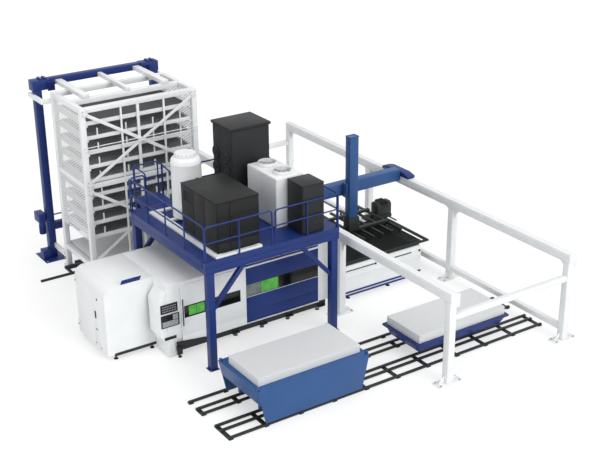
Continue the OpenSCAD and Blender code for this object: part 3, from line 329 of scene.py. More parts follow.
def softened(name, width, coat, segments=2):
    """The solid with its edges rounded, in place of the sharp one."""
    piece = soften(cad_copy(name), width, segments)
    return finish(piece, name + "_rounded", coat, BODY_OF[name], [name])


# Finishes

def linear(code):
    """Linear colour from an sRGB hex value."""
    parts = [int(code[i:i + 2], 16) / 255 for i in (1, 3, 5)]
    return [c / 12.92 if c <= 0.04045 else ((c + 0.055) / 1.055) ** 2.4 for c in parts] + [1]


def node(tree, kind, inputs=None, **settings):
    """Adds one node with its settings; an input is a value or the socket that feeds it."""
    made = tree.nodes.new(kind)
    for key, value in settings.items():
        setattr(made, key, value)
    for key, value in (inputs or {}).items():
        if isinstance(value, bpy.types.NodeSocket):
            tree.links.new(value, made.inputs[key])
        else:
            made.inputs[key].default_value = value
    return made


def new_finish(name):
    """An empty finish, its nodes, and the place on the object that its patterns follow."""
    finish_layer = bpy.data.materials.new(name)
    finish_layer.use_nodes = True
    tree = finish_layer.node_tree
    tree.nodes.clear()
    return finish_layer, tree, node(tree, "ShaderNodeTexCoord").outputs["Object"]


def ramp(tree, value, places, hues):
    """A colour that runs between two hex values while the pattern goes from one place to the other."""
    tone = node(tree, "ShaderNodeValToRGB", {"Fac": value})
    for stop, at, hue in zip(tone.color_ramp.elements, places, hues):
        stop.position, stop.color = at, linear(hue)
    return tone.outputs["Color"]


CLOUDING = 1.1      # patches of the colour about 0.9 m wide
FLAKES = 55.0       # chips about 18 mm wide, drawn coarser than real
PAINT_SHINE = 0.28  # lower than the default, because the studio around the paint is white


def coated_metal(name, colour, shade, worn, rough, chips, grit, grit_height):
    """Paint on metal: slow clouding of the colour, chips that show what is under it, and the grit of the coat.
    grit is the size of one grain in metres, drawn coarser than real so that it shows."""
    finish_layer, tree, place = new_finish(name)
    cloud = node(tree, "ShaderNodeTexNoise", {"Vector": place, "Scale": CLOUDING, "Detail": 5.0,
                                              "Roughness": 0.6})
    tone = ramp(tree, cloud.outputs["Fac"], (0.3, 0.72), (shade, colour))
    flake = node(tree, "ShaderNodeTexNoise", {"Vector": place, "Scale": FLAKES, "Detail": 6.0,
                                              "Roughness": 0.7})
    bare = node(tree, "ShaderNodeMapRange", {"Value": flake.outputs["Fac"], "From Min": 0.72 - chips,
                                             "From Max": 0.76 - chips, "To Max": 0.7})
    skin = node(tree, "ShaderNodeMix", {0: bare.outputs["Result"], 6: tone, 7: linear(worn)}, data_type="RGBA")
    gloss = node(tree, "ShaderNodeMapRange", {"Value": cloud.outputs["Fac"], "From Min": 0.25, "From Max": 0.75,
                                              "To Min": rough - 0.06, "To Max": rough + 0.08})
    grain = node(tree, "ShaderNodeTexNoise", {"Vector": place, "Scale": 1 / grit, "Detail": 2.0})
    bump = node(tree, "ShaderNodeBump", {"Height": grain.outputs["Fac"], "Strength": 0.35,
                                         "Distance": grit_height})
    shader = node(tree, "ShaderNodeBsdfPrincipled", {
        "Base Color": skin.outputs[2], "Roughness": gloss.outputs["Result"], "Normal": bump.outputs["Normal"],
        "Specular IOR Level": PAINT_SHINE})
    node(tree, "ShaderNodeOutputMaterial", {"Surface": shader.outputs["BSDF"]})
    return finish_layer


def drawn_metal(name, colour, shade, rough, stretch, spacing, metallic=1.0):
    """Rolled or brushed metal: long fine lines along the way it was worked. stretch is the scale on each axis,
    small along the lines, and spacing is the distance between lines in metres, drawn coarser than real."""
    finish_layer, tree, place = new_finish(name)
    along = node(tree, "ShaderNodeMapping", {"Vector": place, "Scale": stretch})
    lines = node(tree, "ShaderNodeTexNoise", {"Vector": along.outputs["Vector"], "Scale": 1 / spacing,
                                              "Detail": 4.0})
    tone = ramp(tree, lines.outputs["Fac"], (0.3, 0.7), (shade, colour))
    gloss = node(tree, "ShaderNodeMapRange", {"Value": lines.outputs["Fac"], "To Min": rough - 0.1,
                                              "To Max": rough + 0.12})
    bump = node(tree, "ShaderNodeBump", {"Height": lines.outputs["Fac"], "Strength": 0.2, "Distance": 0.0008})
    shader = node(tree, "ShaderNodeBsdfPrincipled", {
        "Base Color": tone, "Metallic": metallic, "Roughness": gloss.outputs["Result"],
        "Normal": bump.outputs["Normal"]})
    node(tree, "ShaderNodeOutputMaterial", {"Surface": shader.outputs["BSDF"]})
    return finish_layer


def cast_acrylic(name, colour, shade, rough):
    """Cast sheet: a deep even colour with faint smears in its gloss and a very slow ripple."""
    finish_layer, tree, place = new_finish(name)
    smear = node(tree, "ShaderNodeTexNoise", {"Vector": place, "Scale": 3.5, "Detail": 6.0, "Roughness": 0.7})
    tone = ramp(tree, smear.outputs["Fac"], (0.35, 0.65), (shade, colour))
    gloss = node(tree, "ShaderNodeMapRange", {"Value": smear.outputs["Fac"], "To Min": rough,
                                              "To Max": rough + 0.12})
    ripple = node(tree, "ShaderNodeBump", {"Height": smear.outputs["Fac"], "Strength": 0.1, "Distance": 0.004})
    shader = node(tree, "ShaderNodeBsdfPrincipled", {
        "Base Color": tone, "IOR": 1.49, "Roughness": gloss.outputs["Result"],
        "Normal": ripple.outputs["Normal"]})
    node(tree, "ShaderNodeOutputMaterial", {"Surface": shader.outputs["BSDF"]})
    return finish_layer


# Powder coat is baked on as dust: satin, with a faint orange peel about 2 mm wide, drawn at 9 mm.
POWDER = (0.009, 0.0006)
# Each coat has an edge finish for the rounded edges. On the blue, cobalt, charcoal and black coats it is
# lighter than the coat: a painted highlight along the edges, with chips of wear in it.
WHITE = coated_metal("powder coated steel, signal white", "#E9EBEB", "#E0E2E3", "#C4C8CA", 0.42, 0.0, *POWDER)
WHITE_EDGE = coated_metal("powder coat, white, rubbed edge", "#E6E8E8", "#D9DCDD", "#A9AEB1", 0.36, 0.09,
                          *POWDER)
BLUE = coated_metal("powder coated steel, ultramarine", "#1D3473", "#192D68", "#3A5796", 0.4, 0.0, *POWDER)
BLUE_EDGE = coated_metal("powder coat, ultramarine, rubbed edge", "#304C8A", "#28417C", "#7F8CAE", 0.34, 0.09,
                         *POWDER)
# The bridge, its mast and the tall cart get a lighter and greyer blue than the plates: partly their own paint,
# partly painted light for the stronger light on them.
COBALT = coated_metal("powder coated steel, cobalt", "#305589", "#2B4D80", "#4A6CA3", 0.4, 0.0, *POWDER)
COBALT_EDGE = coated_metal("powder coat, cobalt, rubbed edge with painted highlight", "#45689C", "#3A5B90", "#8796B4", 0.34, 0.09,
                           *POWDER)
# Structure enamel on cabinets has a coarse leathery grain of 3 mm, drawn at 12 mm.
LEATHERY = (0.012, 0.001)
CHARCOAL = coated_metal("structure enamel, charcoal", "#232426", "#1D1E20", "#38393B", 0.52, 0.0, *LEATHERY)
CHARCOAL_EDGE = coated_metal("structure enamel, charcoal, rubbed edge", "#38393C", "#2D2E31", "#626467",
                             0.45, 0.09, *LEATHERY)
ANTHRACITE = coated_metal("structure enamel, anthracite", "#151618", "#111213", "#28292B", 0.52, 0.0, *LEATHERY)
# Machine black is brushed on heavy frames and takes dust.
BRUSHED = (0.014, 0.001)
BLACK = coated_metal("machine enamel, black", "#292E2D", "#212525", "#444948", 0.5, 0.02, *BRUSHED)
BLACK_EDGE = coated_metal("machine enamel, black, rubbed edge with painted highlight", "#3F4443", "#333838", "#7D8281", 0.42, 0.1,
                          *BRUSHED)
# Moulded plastic and rubber are even and matt, with spark erosion grain of 1 mm, drawn at 6 mm.
MOULDED = (0.006, 0.0004)
PLASTIC = coated_metal("moulded ABS, anthracite", "#2C2D30", "#242528", "#3A3B3E", 0.5, 0.0, *MOULDED)
KEYS = coated_metal("moulded ABS, pale grey", "#B9BDC0", "#A8ACB0", "#CDD0D2", 0.5, 0.0, *MOULDED)
RUBBER = coated_metal("nitrile rubber, black", "#1B1C1E", "#151617", "#2A2B2D", 0.75, 0.0, 0.006, 0.0006)
# Bright steel shows its drawing lines; sheet from the mill is pale and has rolling lines along X.
STEEL = drawn_metal("drawn steel, bright", "#C3C6C9", "#9A9EA3", 0.34, (4.0, 4.0, 0.3), 0.02)
SHEET = drawn_metal("cold rolled sheet, matt", "#D6D8D9", "#D0D2D3", 0.5, (0.04, 1.0, 3.0), 0.02, 0.1)
# Rolled plate on the storage decks is dull and grey, and its grating paler: both are lighter than bare steel,
# painted light for the shaded levels. The top deck gets a dark plate, painted shade.
EVEN = (1.0, 1.0, 1.0)
DECK = drawn_metal("hot rolled plate, dull", "#7C7F82", "#6A6D70", 0.6, EVEN, 0.05, 0.15)
TOP_PLATE_PAINTED_SHADE = drawn_metal("hot rolled plate, painted shade dark", "#3C3E41", "#333538", 0.6, EVEN, 0.05, 0.1)
GRATING = drawn_metal("expanded steel grating", "#9A9DA0", "#84878A", 0.5, EVEN, 0.03, 0.1)
# Laser safe windows are thick cast acrylic: black outside the beam, green over the beam.
BLACK_PANE = cast_acrylic("cast acrylic, black", "#121614", "#0A0C0B", 0.07)
GREEN_PANE = cast_acrylic("cast acrylic, laser green", "#63C04E", "#3F9A3A", 0.1)
SMOKE_PANE = cast_acrylic("cast acrylic, smoke grey", "#7E8784", "#5E6764", 0.12)
SCREEN = cast_acrylic("screen glass, unlit", "#1E2428", "#14181B", 0.1)

COATS = {"white_paint": (WHITE, WHITE_EDGE), "blue_paint": (BLUE, BLUE_EDGE),
         "dark_paint": (CHARCOAL, CHARCOAL_EDGE), "black_paint": (BLACK, BLACK_EDGE), "steel": (STEEL, STEEL),
         "rubber": (RUBBER, RUBBER), "tinted_glass": (BLACK_PANE, BLACK_PANE),
         "console_plastic": (PLASTIC, PLASTIC), "sheet_metal": (SHEET, SHEET)}

for name, solid in NODES.items():
    solid.data.materials.clear()
    solid.data.materials.append(COATS[SLOT_OF[name]][0])


def dress(name, width, segments=2):
    """Rounds a solid's edges and gives it the coat of its slot."""
    return softened(name, width, COATS[SLOT_OF[name]], segments)


def painted(piece, name, slot, body="cell", stands_for=()):
    """A piece in the paint of its slot, with the edge finish on its rounded edges: chips of wear, and on the
    blue, cobalt, charcoal and black coats a painted highlight.
    """
    return finish(piece, name, COATS[slot], body, stands_for)


# Camera and light, at the photograph's view

def place_camera():
    # Solved from the vanishing points of the photograph
    stand = (-15.85635, -25.4454, 15.0)
    right = Vector((0.83043954, -0.55705698, -0.00759503))
    down = Vector((-0.22816358, -0.32763729, -0.91683978))
    ahead = Vector((0.50824359, 0.76311292, -0.39918308))
    lens = bpy.data.cameras.new("photo_view")
    lens.lens, lens.sensor_width, lens.clip_end = 70.67, 36.0, 500.0
    camera = bpy.data.objects.new("photo_view", lens)
    bpy.context.scene.collection.objects.link(camera)
    turn = Matrix((right, -down, -ahead)).transposed().to_4x4()
    camera.matrix_world = Matrix.Translation(stand) @ turn
    bpy.context.scene.camera = camera


def lamp(name, place, spread, strength):
    """A wide even light from the direction of its place, the same near and far."""
    light = bpy.data.lights.new(name, "SUN")
    light.angle, light.energy = math.radians(spread), strength
    holder = bpy.data.objects.new(name, light)
    bpy.context.scene.collection.objects.link(holder)
    holder.location = place
    holder.rotation_euler = (-Vector(place)).to_track_quat("-Z", "Y").to_euler()


def seen_by_lens(tree):
    """One for rays from the camera, in mirrors and through glass, none for light that falls on things."""
    path = node(tree, "ShaderNodeLightPath")
    first = node(tree, "ShaderNodeMath", {0: path.outputs["Is Camera Ray"], 1: path.outputs["Is Glossy Ray"]},
                 operation="MAXIMUM")
    return node(tree, "ShaderNodeMath", {0: first.outputs[0], 1: path.outputs["Is Transmission Ray"]},
                operation="MAXIMUM").outputs[0]


def light_studio():
    scene = bpy.context.scene
    scene.view_settings.view_transform = "Standard"
    world = scene.world or bpy.data.worlds.new("studio")
    scene.world = world
    world.use_nodes = True
    tree = world.node_tree
    tree.nodes.clear()
    strength = node(tree, "ShaderNodeMapRange", {"Value": seen_by_lens(tree), "To Min": 0.5, "To Max": 1.0})
    air = node(tree, "ShaderNodeBackground", {"Color": (1, 1, 1, 1), "Strength": strength.outputs["Result"]})
    node(tree, "ShaderNodeOutputWorld", {"Surface": air.outputs["Background"]})
    lamp("front_light", (6.0, -23.0, 12.5), 35, 1.4)
    lamp("left_light", (-24.0, -8.0, 10.0), 35, 0.6)
    lamp("top_light", (0.0, -2.0, 22.0), 60, 1.05)


def lay_floor():
    """A matt white floor that takes the shadows and fades into the white behind it."""
    bpy.ops.mesh.primitive_plane_add(size=600, location=(0, 0, -0.002))
    floor = bpy.context.object
    floor.name = "studio_floor"
    paint, tree, place = new_finish("studio floor, matt white")
    cloud = node(tree, "ShaderNodeTexNoise", {"Vector": place, "Scale": 0.4, "Detail": 3.0})
    tone = ramp(tree, cloud.outputs["Fac"], (0.0, 1.0), ("#F3F4F4", "#F8F8F8"))
    matt = node(tree, "ShaderNodeBsdfPrincipled", {"Base Color": tone, "Roughness": 0.7})
    glow = node(tree, "ShaderNodeEmission", {"Color": (1, 1, 1, 1), "Strength": 1.08})
    reach = node(tree, "ShaderNodeVectorMath", {0: place}, operation="LENGTH")
    away = node(tree, "ShaderNodeMapRange", {"Value": reach.outputs["Value"], "From Min": 6.0, "From Max": 13.0,
                                             "To Min": 0.5, "To Max": 1.0})
    share = node(tree, "ShaderNodeMath", {0: seen_by_lens(tree), 1: away.outputs["Result"]},
                 operation="MULTIPLY")
    mixed = node(tree, "ShaderNodeMixShader", {0: share.outputs[0], 1: matt.outputs["BSDF"],
                                               2: glow.outputs["Emission"]})
    node(tree, "ShaderNodeOutputMaterial", {"Surface": mixed.outputs["Shader"]})
    floor.data.materials.append(paint)


place_camera()
light_studio()
lay_floor()

# Loading gantry

def dress_gantry():
    lo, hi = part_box("gantry_posts")
    plate_l, plate_w, post, bay = 0.375, 0.16, 0.1, 4.52
    columns = [(x, y) for x in (lo.x + plate_l, hi.x - plate_l)
               for y in (lo.y + plate_w, lo.y + plate_w + bay, hi.y - plate_w - bay, hi.y - plate_w)]
    finish(nuts_at(around(columns, 0.3, 0.11), 0.022), "gantry_anchor_nuts", STEEL)
    lo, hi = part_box("gantry_rails")
    top, inset, lip, rack_t, tooth_step, cap_t = hi.z, 0.05, 0.012, 0.01, 0.05, 0.008
    left, right = columns[0][0], columns[4][0]
    lips = []
    for x in (left, right):
        for side in (-1, 1):
            face = x + side * post
            lips.append(block((face - (lip if side < 0 else 0), lo.y + inset, top - 0.075),
                              (face + (lip if side > 0 else 0), hi.y - inset, top - 0.045)))
    painted(soften_all(lips, 0.004), "gantry_rail_lips", "white_paint")
    tooth = block((0, lo.y + 0.06, top - 0.2), (rack_t, lo.y + 0.085, top - 0.165))
    teeth(tooth, -1, 0.4, lo.y + 0.0725, int((hi.y - lo.y - 0.15) / tooth_step), tooth_step)
    bar = soften(block((0, lo.y + inset, top - 0.165), (rack_t, hi.y - inset, top - 0.12)), 0.002)
    racks = copies(join([tooth, bar]), [(left + post, 0, 0), (right - post - rack_t, 0, 0)])
    painted(join(racks), "gantry_racks", "white_paint")
    caps = []
    for x in (left, right):
        for y, out in ((lo.y, -1), (hi.y, 1)):
            near, far = sorted((y, y + out * cap_t))
            cap = block((x - 0.09, near, top - 0.24), (x + 0.09, far, top - 0.01))
            caps.append(soften(recess(cap, facing(y=out), 0.015, 0.003), 0.003, 1))
    painted(join(caps), "gantry_rail_end_caps", "white_paint")


def dress_bridge():
    lo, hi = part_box("lift_mast")
    brim, cap_h = 0.012, 0.022
    cap = block((lo.x - brim, lo.y - brim, hi.z), (hi.x + brim, hi.y + brim, hi.z + cap_h))
    cap = soften(recess(cap, facing(z=1), 0.03, 0.006), 0.004)
    finish(cap, "mast_cap", (COBALT, COBALT_EDGE), "mast")
    lo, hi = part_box("suction_cups")
    cup_r, neck, stem, rise = 0.045, 0.02, 0.013, hi.z - lo.z
    cup = turned([(cup_r, 0), (cup_r * 0.62, 0.013), (cup_r * 0.86, 0.02), (cup_r * 0.5, 0.032), (neck, 0.036),
                  (neck, 0.044), (stem, 0.046), (stem, rise)], (0, 0, 0), sides=20)
    spots = [(x, y, lo.z) for x in row(lo.x + cup_r, hi.x - cup_r, 5)
             for y in row(lo.y + cup_r, hi.y - cup_r, 4)]
    finish(join(copies(cup, spots)), "bellows_cups", RUBBER, "mast", ["suction_cups"])


# Cutting machine

def dress_door():
    lo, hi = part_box("front_door")
    pane_lo, pane_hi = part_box("door_window")
    door = cad_copy("front_door")
    cut(door, block((lo.x - 0.01, lo.y - 0.01, 0.556), (hi.x + 0.01, lo.y + 0.005, 0.564)))
    painted(soften(door, 0.004), "front_door_rounded", "white_paint", "door", ["front_door"])
    lap, sight = 0.014, 0.012
    rim = block((pane_lo.x - lap, lo.y - 0.004, pane_lo.z - lap),
                (pane_hi.x + lap, lo.y + 0.004, pane_hi.z + lap))
    cut(rim, block((pane_lo.x + sight, lo.y - 0.02, pane_lo.z + sight),
                   (pane_hi.x - sight, lo.y + 0.02, pane_hi.z - sight)))
    finish(soften(rim, 0.002, 1), "door_window_gasket", RUBBER, "door")
    pane = soften(recess(block(pane_lo, pane_hi), facing(y=-1), 0.02, 0.002), 0.002, 1)
    finish(pane, "door_window_pane", BLACK_PANE, "door", ["door_window"])
    leaves = [block((pane_lo.x + x0, pane_lo.y - 0.002, pane_lo.z + 0.022),
                    (pane_lo.x + x1, pane_lo.y + 0.002, pane_hi.z - 0.022))
              for x0, x1 in ((0.12, 0.345), (0.353, 0.58))]
    finish(soften_all(leaves, 0.0015, 1), "door_window_green", GREEN_PANE, "door")
    lo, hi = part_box("door_handle")
    bar = block(lo, (hi.x, lo.y + 0.014, hi.z))
    feet = [block((lo.x + 0.004, lo.y + 0.01, z - 0.02), (hi.x - 0.004, hi.y, z + 0.02))
            for z in (lo.z + 0.06, (lo.z + hi.z) / 2, hi.z - 0.06)]
    finish(soften_all([bar] + feet, 0.006, 3), "door_grip_bar", PLASTIC, "door",
           ["door_handle"])


def dress_strip_window():
    lo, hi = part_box("fixed_window")
    pane = soften(block(lo, hi), 0.002, 1)
    finish(pane, "strip_window_pane", BLACK_PANE, stands_for=["fixed_window"])
    for label, coat, x0, x1 in (("smoke", SMOKE_PANE, 0.06, 0.52), ("green", GREEN_PANE, 0.53, 1.07)):
        leaf = block((lo.x + x0, lo.y - 0.003, lo.z + 0.015), (lo.x + x1, lo.y + 0.003, hi.z - 0.015))
        finish(soften(leaf, 0.0015, 1), "strip_window_" + label, coat)
    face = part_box("blue_panels")[0].y
    # The sill stays behind the sliding door, which passes over it
    sill = soften(block((lo.x, face - 0.003, lo.z - 0.014), (hi.x, face + 0.004, lo.z - 0.002)), 0.002, 1)
    painted(sill, "strip_window_sill", "white_paint")


def dress_console():
    lo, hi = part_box("console_panels")
    key_top, screen_low, key_step = lo.z + 0.345, hi.z - 0.25, 0.037
    plate = block((lo.x, hi.y - 0.02, screen_low), (hi.x - 0.03, hi.y, hi.z))
    plate = soften(recess(plate, facing(y=-1), 0.018, 0.005), 0.004)
    desk = block(lo, (hi.x, hi.y, key_top))
    desk = soften(recess(desk, facing(y=-1), 0.016, 0.006), 0.005)
    finish(join([plate, desk]), "console_bezels", PLASTIC,
           stands_for=["console_panels"])
    knob = turned([(0.011, 0), (0.013, 0.004), (0.012, 0.012), (0.009, 0.014)], (0, 0, 0), sides=16)
    knob.data.transform(TO_FRONT)
    spots = [(x, hi.y - 0.015, z) for x in row(lo.x + 0.06, hi.x - 0.09, 9)
             for z in row(screen_low + 0.06, hi.z - 0.06, 3)]
    finish(join(copies(knob, spots)), "console_buttons", KEYS)
    glass = block((lo.x + 0.03, lo.y + 0.001, lo.z + 0.2), (lo.x + 0.31, lo.y + 0.008, key_top - 0.03))
    finish(soften(glass, 0.003, 1), "console_screen", SCREEN)
    key = block((lo.x + 0.03, lo.y - 0.002, lo.z + 0.03), (lo.x + 0.062, lo.y + 0.008, lo.z + 0.06))
    wide_pad = [(key_step * i, 0, key_step * j) for i in range(12) for j in range(4)]
    side_pad = [(0.3 + key_step * i, 0, key_step * j + 0.16) for i in range(4) for j in range(4)]
    keys = copies(soften(key, 0.003, 1), wide_pad + side_pad)
    finish(join(keys), "console_keys", KEYS)


def dress_machine_foot():
    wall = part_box("front_panels")[0].x
    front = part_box("console_housing")[0].y
    shell_lo, shell_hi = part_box("cabinet_shell")
    door_lo, door_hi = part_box("front_door")
    feet_lo, feet_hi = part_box("levelling_feet")
    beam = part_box("machine_base")[0].y

    left, right, low, high = wall - 0.104, wall + 0.235, 0.53, 0.614
    rim, ledge = 0.01, 0.008
    ring = cut(block((left, front - 0.008, low), (right, front + 0.002, high)),
               block((left + rim, front - 0.018, low + ledge), (right - rim, front + 0.012, high - ledge)))
    blades = louvre((left + rim, front - 0.006, low + ledge), (right - rim, front + 0.002, high - ledge),
                    "-Y", 7)
    finish(join([soften(ring, 0.002, 1), blades]), "console_vent", (PLASTIC,))

    corner, skirt_low, skirt_top = wall + 0.24, 0.02, 0.303
    skirt = [block((wall, front, skirt_low), (corner, front + 0.012, skirt_top)),
             block((wall, front + 0.0125, skirt_low), (wall + 0.012, shell_lo.y - 0.002, skirt_top))]
    painted(soften_all(skirt, 0.003, 1), "machine_side_skirt", "white_paint")
    face, start, kick_top, fall = door_lo.y - 0.004, corner - 0.044, 0.447, 0.126
    kick = block((start, face - 0.008, 0.165), (corner + 0.86, face, kick_top))
    choose(kick, lambda middle, normal: True)
    bpy.ops.mesh.bisect(plane_co=(start, face, kick_top), plane_no=(fall, 0, 1), clear_outer=True,
                        use_fill=True)
    done()
    post = block((start, face - 0.05, 0.07), (corner + 0.1, face - 0.0085, 0.29))
    struts = [block((x, face + 0.0002, 0.17), (x + 0.05, beam - 0.0005, 0.28))
              for x in (corner - 0.03, corner + 0.79)]
    painted(soften_all([kick, post] + struts, 0.004, 1), "base_kick_plate", "black_paint")
    foot = turned([(0.05, 0), (0.052, 0.006), (0.045, 0.022), (0.022, 0.03), (0.022, 0.0695)],
                  (corner + 0.02, face - 0.03, 0), sides=24)
    painted(foot, "base_corner_foot", "black_paint")
    strip = block((door_lo.x - 0.009, front + 0.002, door_lo.z + 0.01),
                  (door_lo.x - 0.001, front + 0.008, door_hi.z - 0.01))
    painted(soften(strip, 0.001, 1), "door_edge_strip", "white_paint")
    bar = block((shell_lo.x + 0.19, shell_lo.y - 0.005, 0.104), (shell_hi.x, shell_lo.y - 0.0005, 0.19))
    painted(soften(bar, 0.002, 1), "cabinet_base_bar", "black_paint")

    ledge_low, ledge_top, rib_top = 0.1, 0.13, 0.215
    brackets = []
    for x in (wall + step for step in (2.01, 2.88, 3.72, 4.77)):
        brackets.append(block((x - 0.11, beam - 0.055, ledge_low), (x + 0.11, beam - 0.0005, ledge_top)))
        for middle in (x - 0.08, x + 0.08):
            rib = block((middle - 0.006, beam - 0.05, ledge_top), (middle + 0.006, beam - 0.0005, rib_top))
            choose(rib, facing(z=1))
            bpy.ops.transform.resize(value=(1, 0.3, 1), center_override=(x, beam, rib_top))
            done()
            brackets.append(rib)
    painted(soften_all(brackets, 0.003, 1), "base_foot_brackets", "black_paint")
    feet = [(wall + 0.04 + 4.88 * share, y, 0.036) for share in (0.05, 0.41, 0.58, 0.75, 0.95)
            for y in (feet_lo.y + 0.06, feet_hi.y - 0.06)]
    finish(join(copies(anchor_nut(0.04), feet)), "foot_lock_nuts", STEEL)


def dress_cabinet():
    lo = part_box("cabinet_shell")[0]
    door = cad_copy("cabinet_door")
    seam, groove = lo.y + 0.68, 0.006
    cut(door, block((lo.x - 0.001, seam, 0.1), (lo.x + groove, seam + groove, 2.1)))
    painted(soften(door, 0.004), "cabinet_door_rounded", "white_paint", "ecab_door", ["cabinet_door"])
    fittings = []
    for y, z, wide, high, out in ((0.452, 1.6, 0.05, 0.05, 0.008), (0.582, 0.698, 0.13, 0.024, 0.006),
                                  (0.693, 0.264, 0.034, 0.034, 0.006), (0.371, 0.236, 0.034, 0.034, 0.006)):
        plate = block((lo.x - out, lo.y + y - wide / 2, z - high / 2),
                      (lo.x + 0.002, lo.y + y + wide / 2, z + high / 2))
        fittings.append(soften(recess(plate, facing(x=-1), 0.005, 0.002), 0.002, 1))
    base = block((lo.x - 0.008, lo.y + 0.555, 1.02), (lo.x + 0.002, lo.y + 0.62, 1.22))
    lever = block((lo.x - 0.031, lo.y + 0.565, 1.035), (lo.x - 0.006, lo.y + 0.61, 1.205))
    fittings += [soften(recess(base, facing(x=-1), 0.006, 0.003), 0.003, 1), soften(lever, 0.007, 3)]
    finish(join(fittings), "cabinet_locks", PLASTIC, "ecab_door")
    dress("cabinet_pins", 0.001, 1)
    dress("nameplate", 0.001, 1)


# Exchange table

def dress_table():
    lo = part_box("table_frame")[0]
    front = lo.y + 0.04
    # Dark plastic strips stand for the slots in the side housing: their darkness is painted shade, not cut
    # openings.
    slots = [block((lo.x + x0, front - 0.003, 0.862), (lo.x + x1, front + 0.004, 0.897))
             for x0, x1 in ((0.07, 1.13), (1.85, 2.47))]
    finish(soften_all(slots, 0.0015, 1), "table_side_slots_painted_shade", (PLASTIC,))
    wheel = turned([(0.02, 0), (0.032, 0.002), (0.032, 0.02), (0.022, 0.022), (0.012, 0.03)],
                   (0, 0, 0), sides=20)
    wheel.data.transform(TO_FRONT)
    rollers = copies(wheel, [(lo.x + x, front, 0.88) for x in (1.17, 2.76)])
    finish(join(rollers), "table_guide_rollers", (BLACK,))
    lo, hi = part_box("table_trim")
    strip_h = 0.055
    strips = [block((lo.x, lo.y - 0.002, z), (hi.x, hi.y, z + strip_h)) for z in (lo.z - 0.002, lo.z + 0.09)]
    painted(soften_all(strips, 0.003, 1), "table_blue_strips", "blue_paint", stands_for=["table_trim"])

    lo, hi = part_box("pallet_slats")
    step, count, gauge = 0.042, 70, 0.01
    crest = hi.z - 0.02
    tooth = block((lo.x, lo.y, crest), (lo.x + gauge, lo.y + step, hi.z))
    teeth(tooth, 1, 0.12, lo.y + step / 2, int((hi.y - lo.y) / step), step)
    web = block(lo, (lo.x + gauge, hi.y, crest))
    slats = copies(join([tooth, web]), [(x - lo.x, 0, 0) for x in row(lo.x, hi.x - gauge, count)])
    painted(join(slats), "pallet_toothed_slats", "black_paint", "pallet", ["pallet_slats"])
    lo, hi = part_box("pallet_frame")
    lip = block((hi.x - 0.06, lo.y + 0.02, hi.z), (hi.x, hi.y - 0.02, hi.z + 0.012))
    bars = [drum(((lo.x + hi.x) / 2, y, hi.z + 0.0115), 0.0125, hi.x - lo.x - 0.1, "X", 16)
            for y in (lo.y + 0.03, hi.y - 0.03)]
    painted(soften_all([lip] + bars, 0.003, 1), "pallet_end_lip", "black_paint", "pallet")
    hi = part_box("shuttle_drive")[1]
    fin = block((hi.x - 0.12, hi.y - 0.36, hi.z - 0.27), (hi.x - 0.108, hi.y - 0.02, hi.z - 0.05))
    fins = copies(soften(fin, 0.002, 1), [(-0.03 * i - 0.04, 0, 0.075) for i in range(9)])
    painted(join(fins), "shuttle_motor_fins", "black_paint")


# Service platform

def dress_platform():
    lo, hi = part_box("platform_deck")
    deck, back = hi.z, lo.y + 4.1
    bar, reach, inset, gap = 0.042, 0.94, 0.005, 0.012
    half = bar / 2
    left, right, near, far = lo.x + inset, hi.x - inset, lo.y + inset + half, back - inset - half
    start = lo.x + 0.52
    landing = start + 0.78
    middle = (lo.x + hi.x) / 2
    # Each run has its way, where it begins and stops, its place across and its bays
    runs = [("Y", lo.y + bar + gap, back - gap, left + half, 4),
            ("Y", lo.y + bar + gap, back - bar - gap, right - half, 4),
            ("X", left, middle - 0.03, near, 2),
            ("X", middle + 0.03, right, near, 2),
            ("X", landing + gap, right, far, 3),
            ("X", start + inset, landing, hi.y - inset - half, 1),
            ("X", left + bar + gap, start - gap, far, 1),
            ("Y", back + gap, hi.y - bar - gap, start + inset + half, 1)]
    tubes = []
    for way, begin, stop, side, bays in runs:
        def at(run, height):
            return (run, side, deck + height) if way == "X" else (side, run, deck + height)
        posts = row(begin + half, stop - half, bays + 1)
        first, last, top, knee = posts[0], posts[-1], reach - half, reach / 2 + half
        tubes.append(bent_tube([at(first, 0), at(first, top), at(last, top), at(last, 0)], half, 0.1))
        tubes += [bent_tube([at(p, 0), at(p, top)], half) for p in posts[1:-1]]
        tubes.append(bent_tube([at(first, knee), at(last, knee)], half * 0.9))
        tubes += [soften(drum(at(p, 0.006), 0.045, 0.012, sides=16), 0.002, 1) for p in posts]
    painted(join(tubes), "platform_guard_tubes", "blue_paint", stands_for=["platform_railing"])
    lo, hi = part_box("platform_frame")
    columns = [(x, y) for x in (lo.x + 0.14, hi.x - 0.14) for y in (lo.y + 0.125, hi.y - 0.125)]
    finish(nuts_at(around(columns, 0.115, 0.105), 0.014), "platform_anchor_nuts", STEEL)


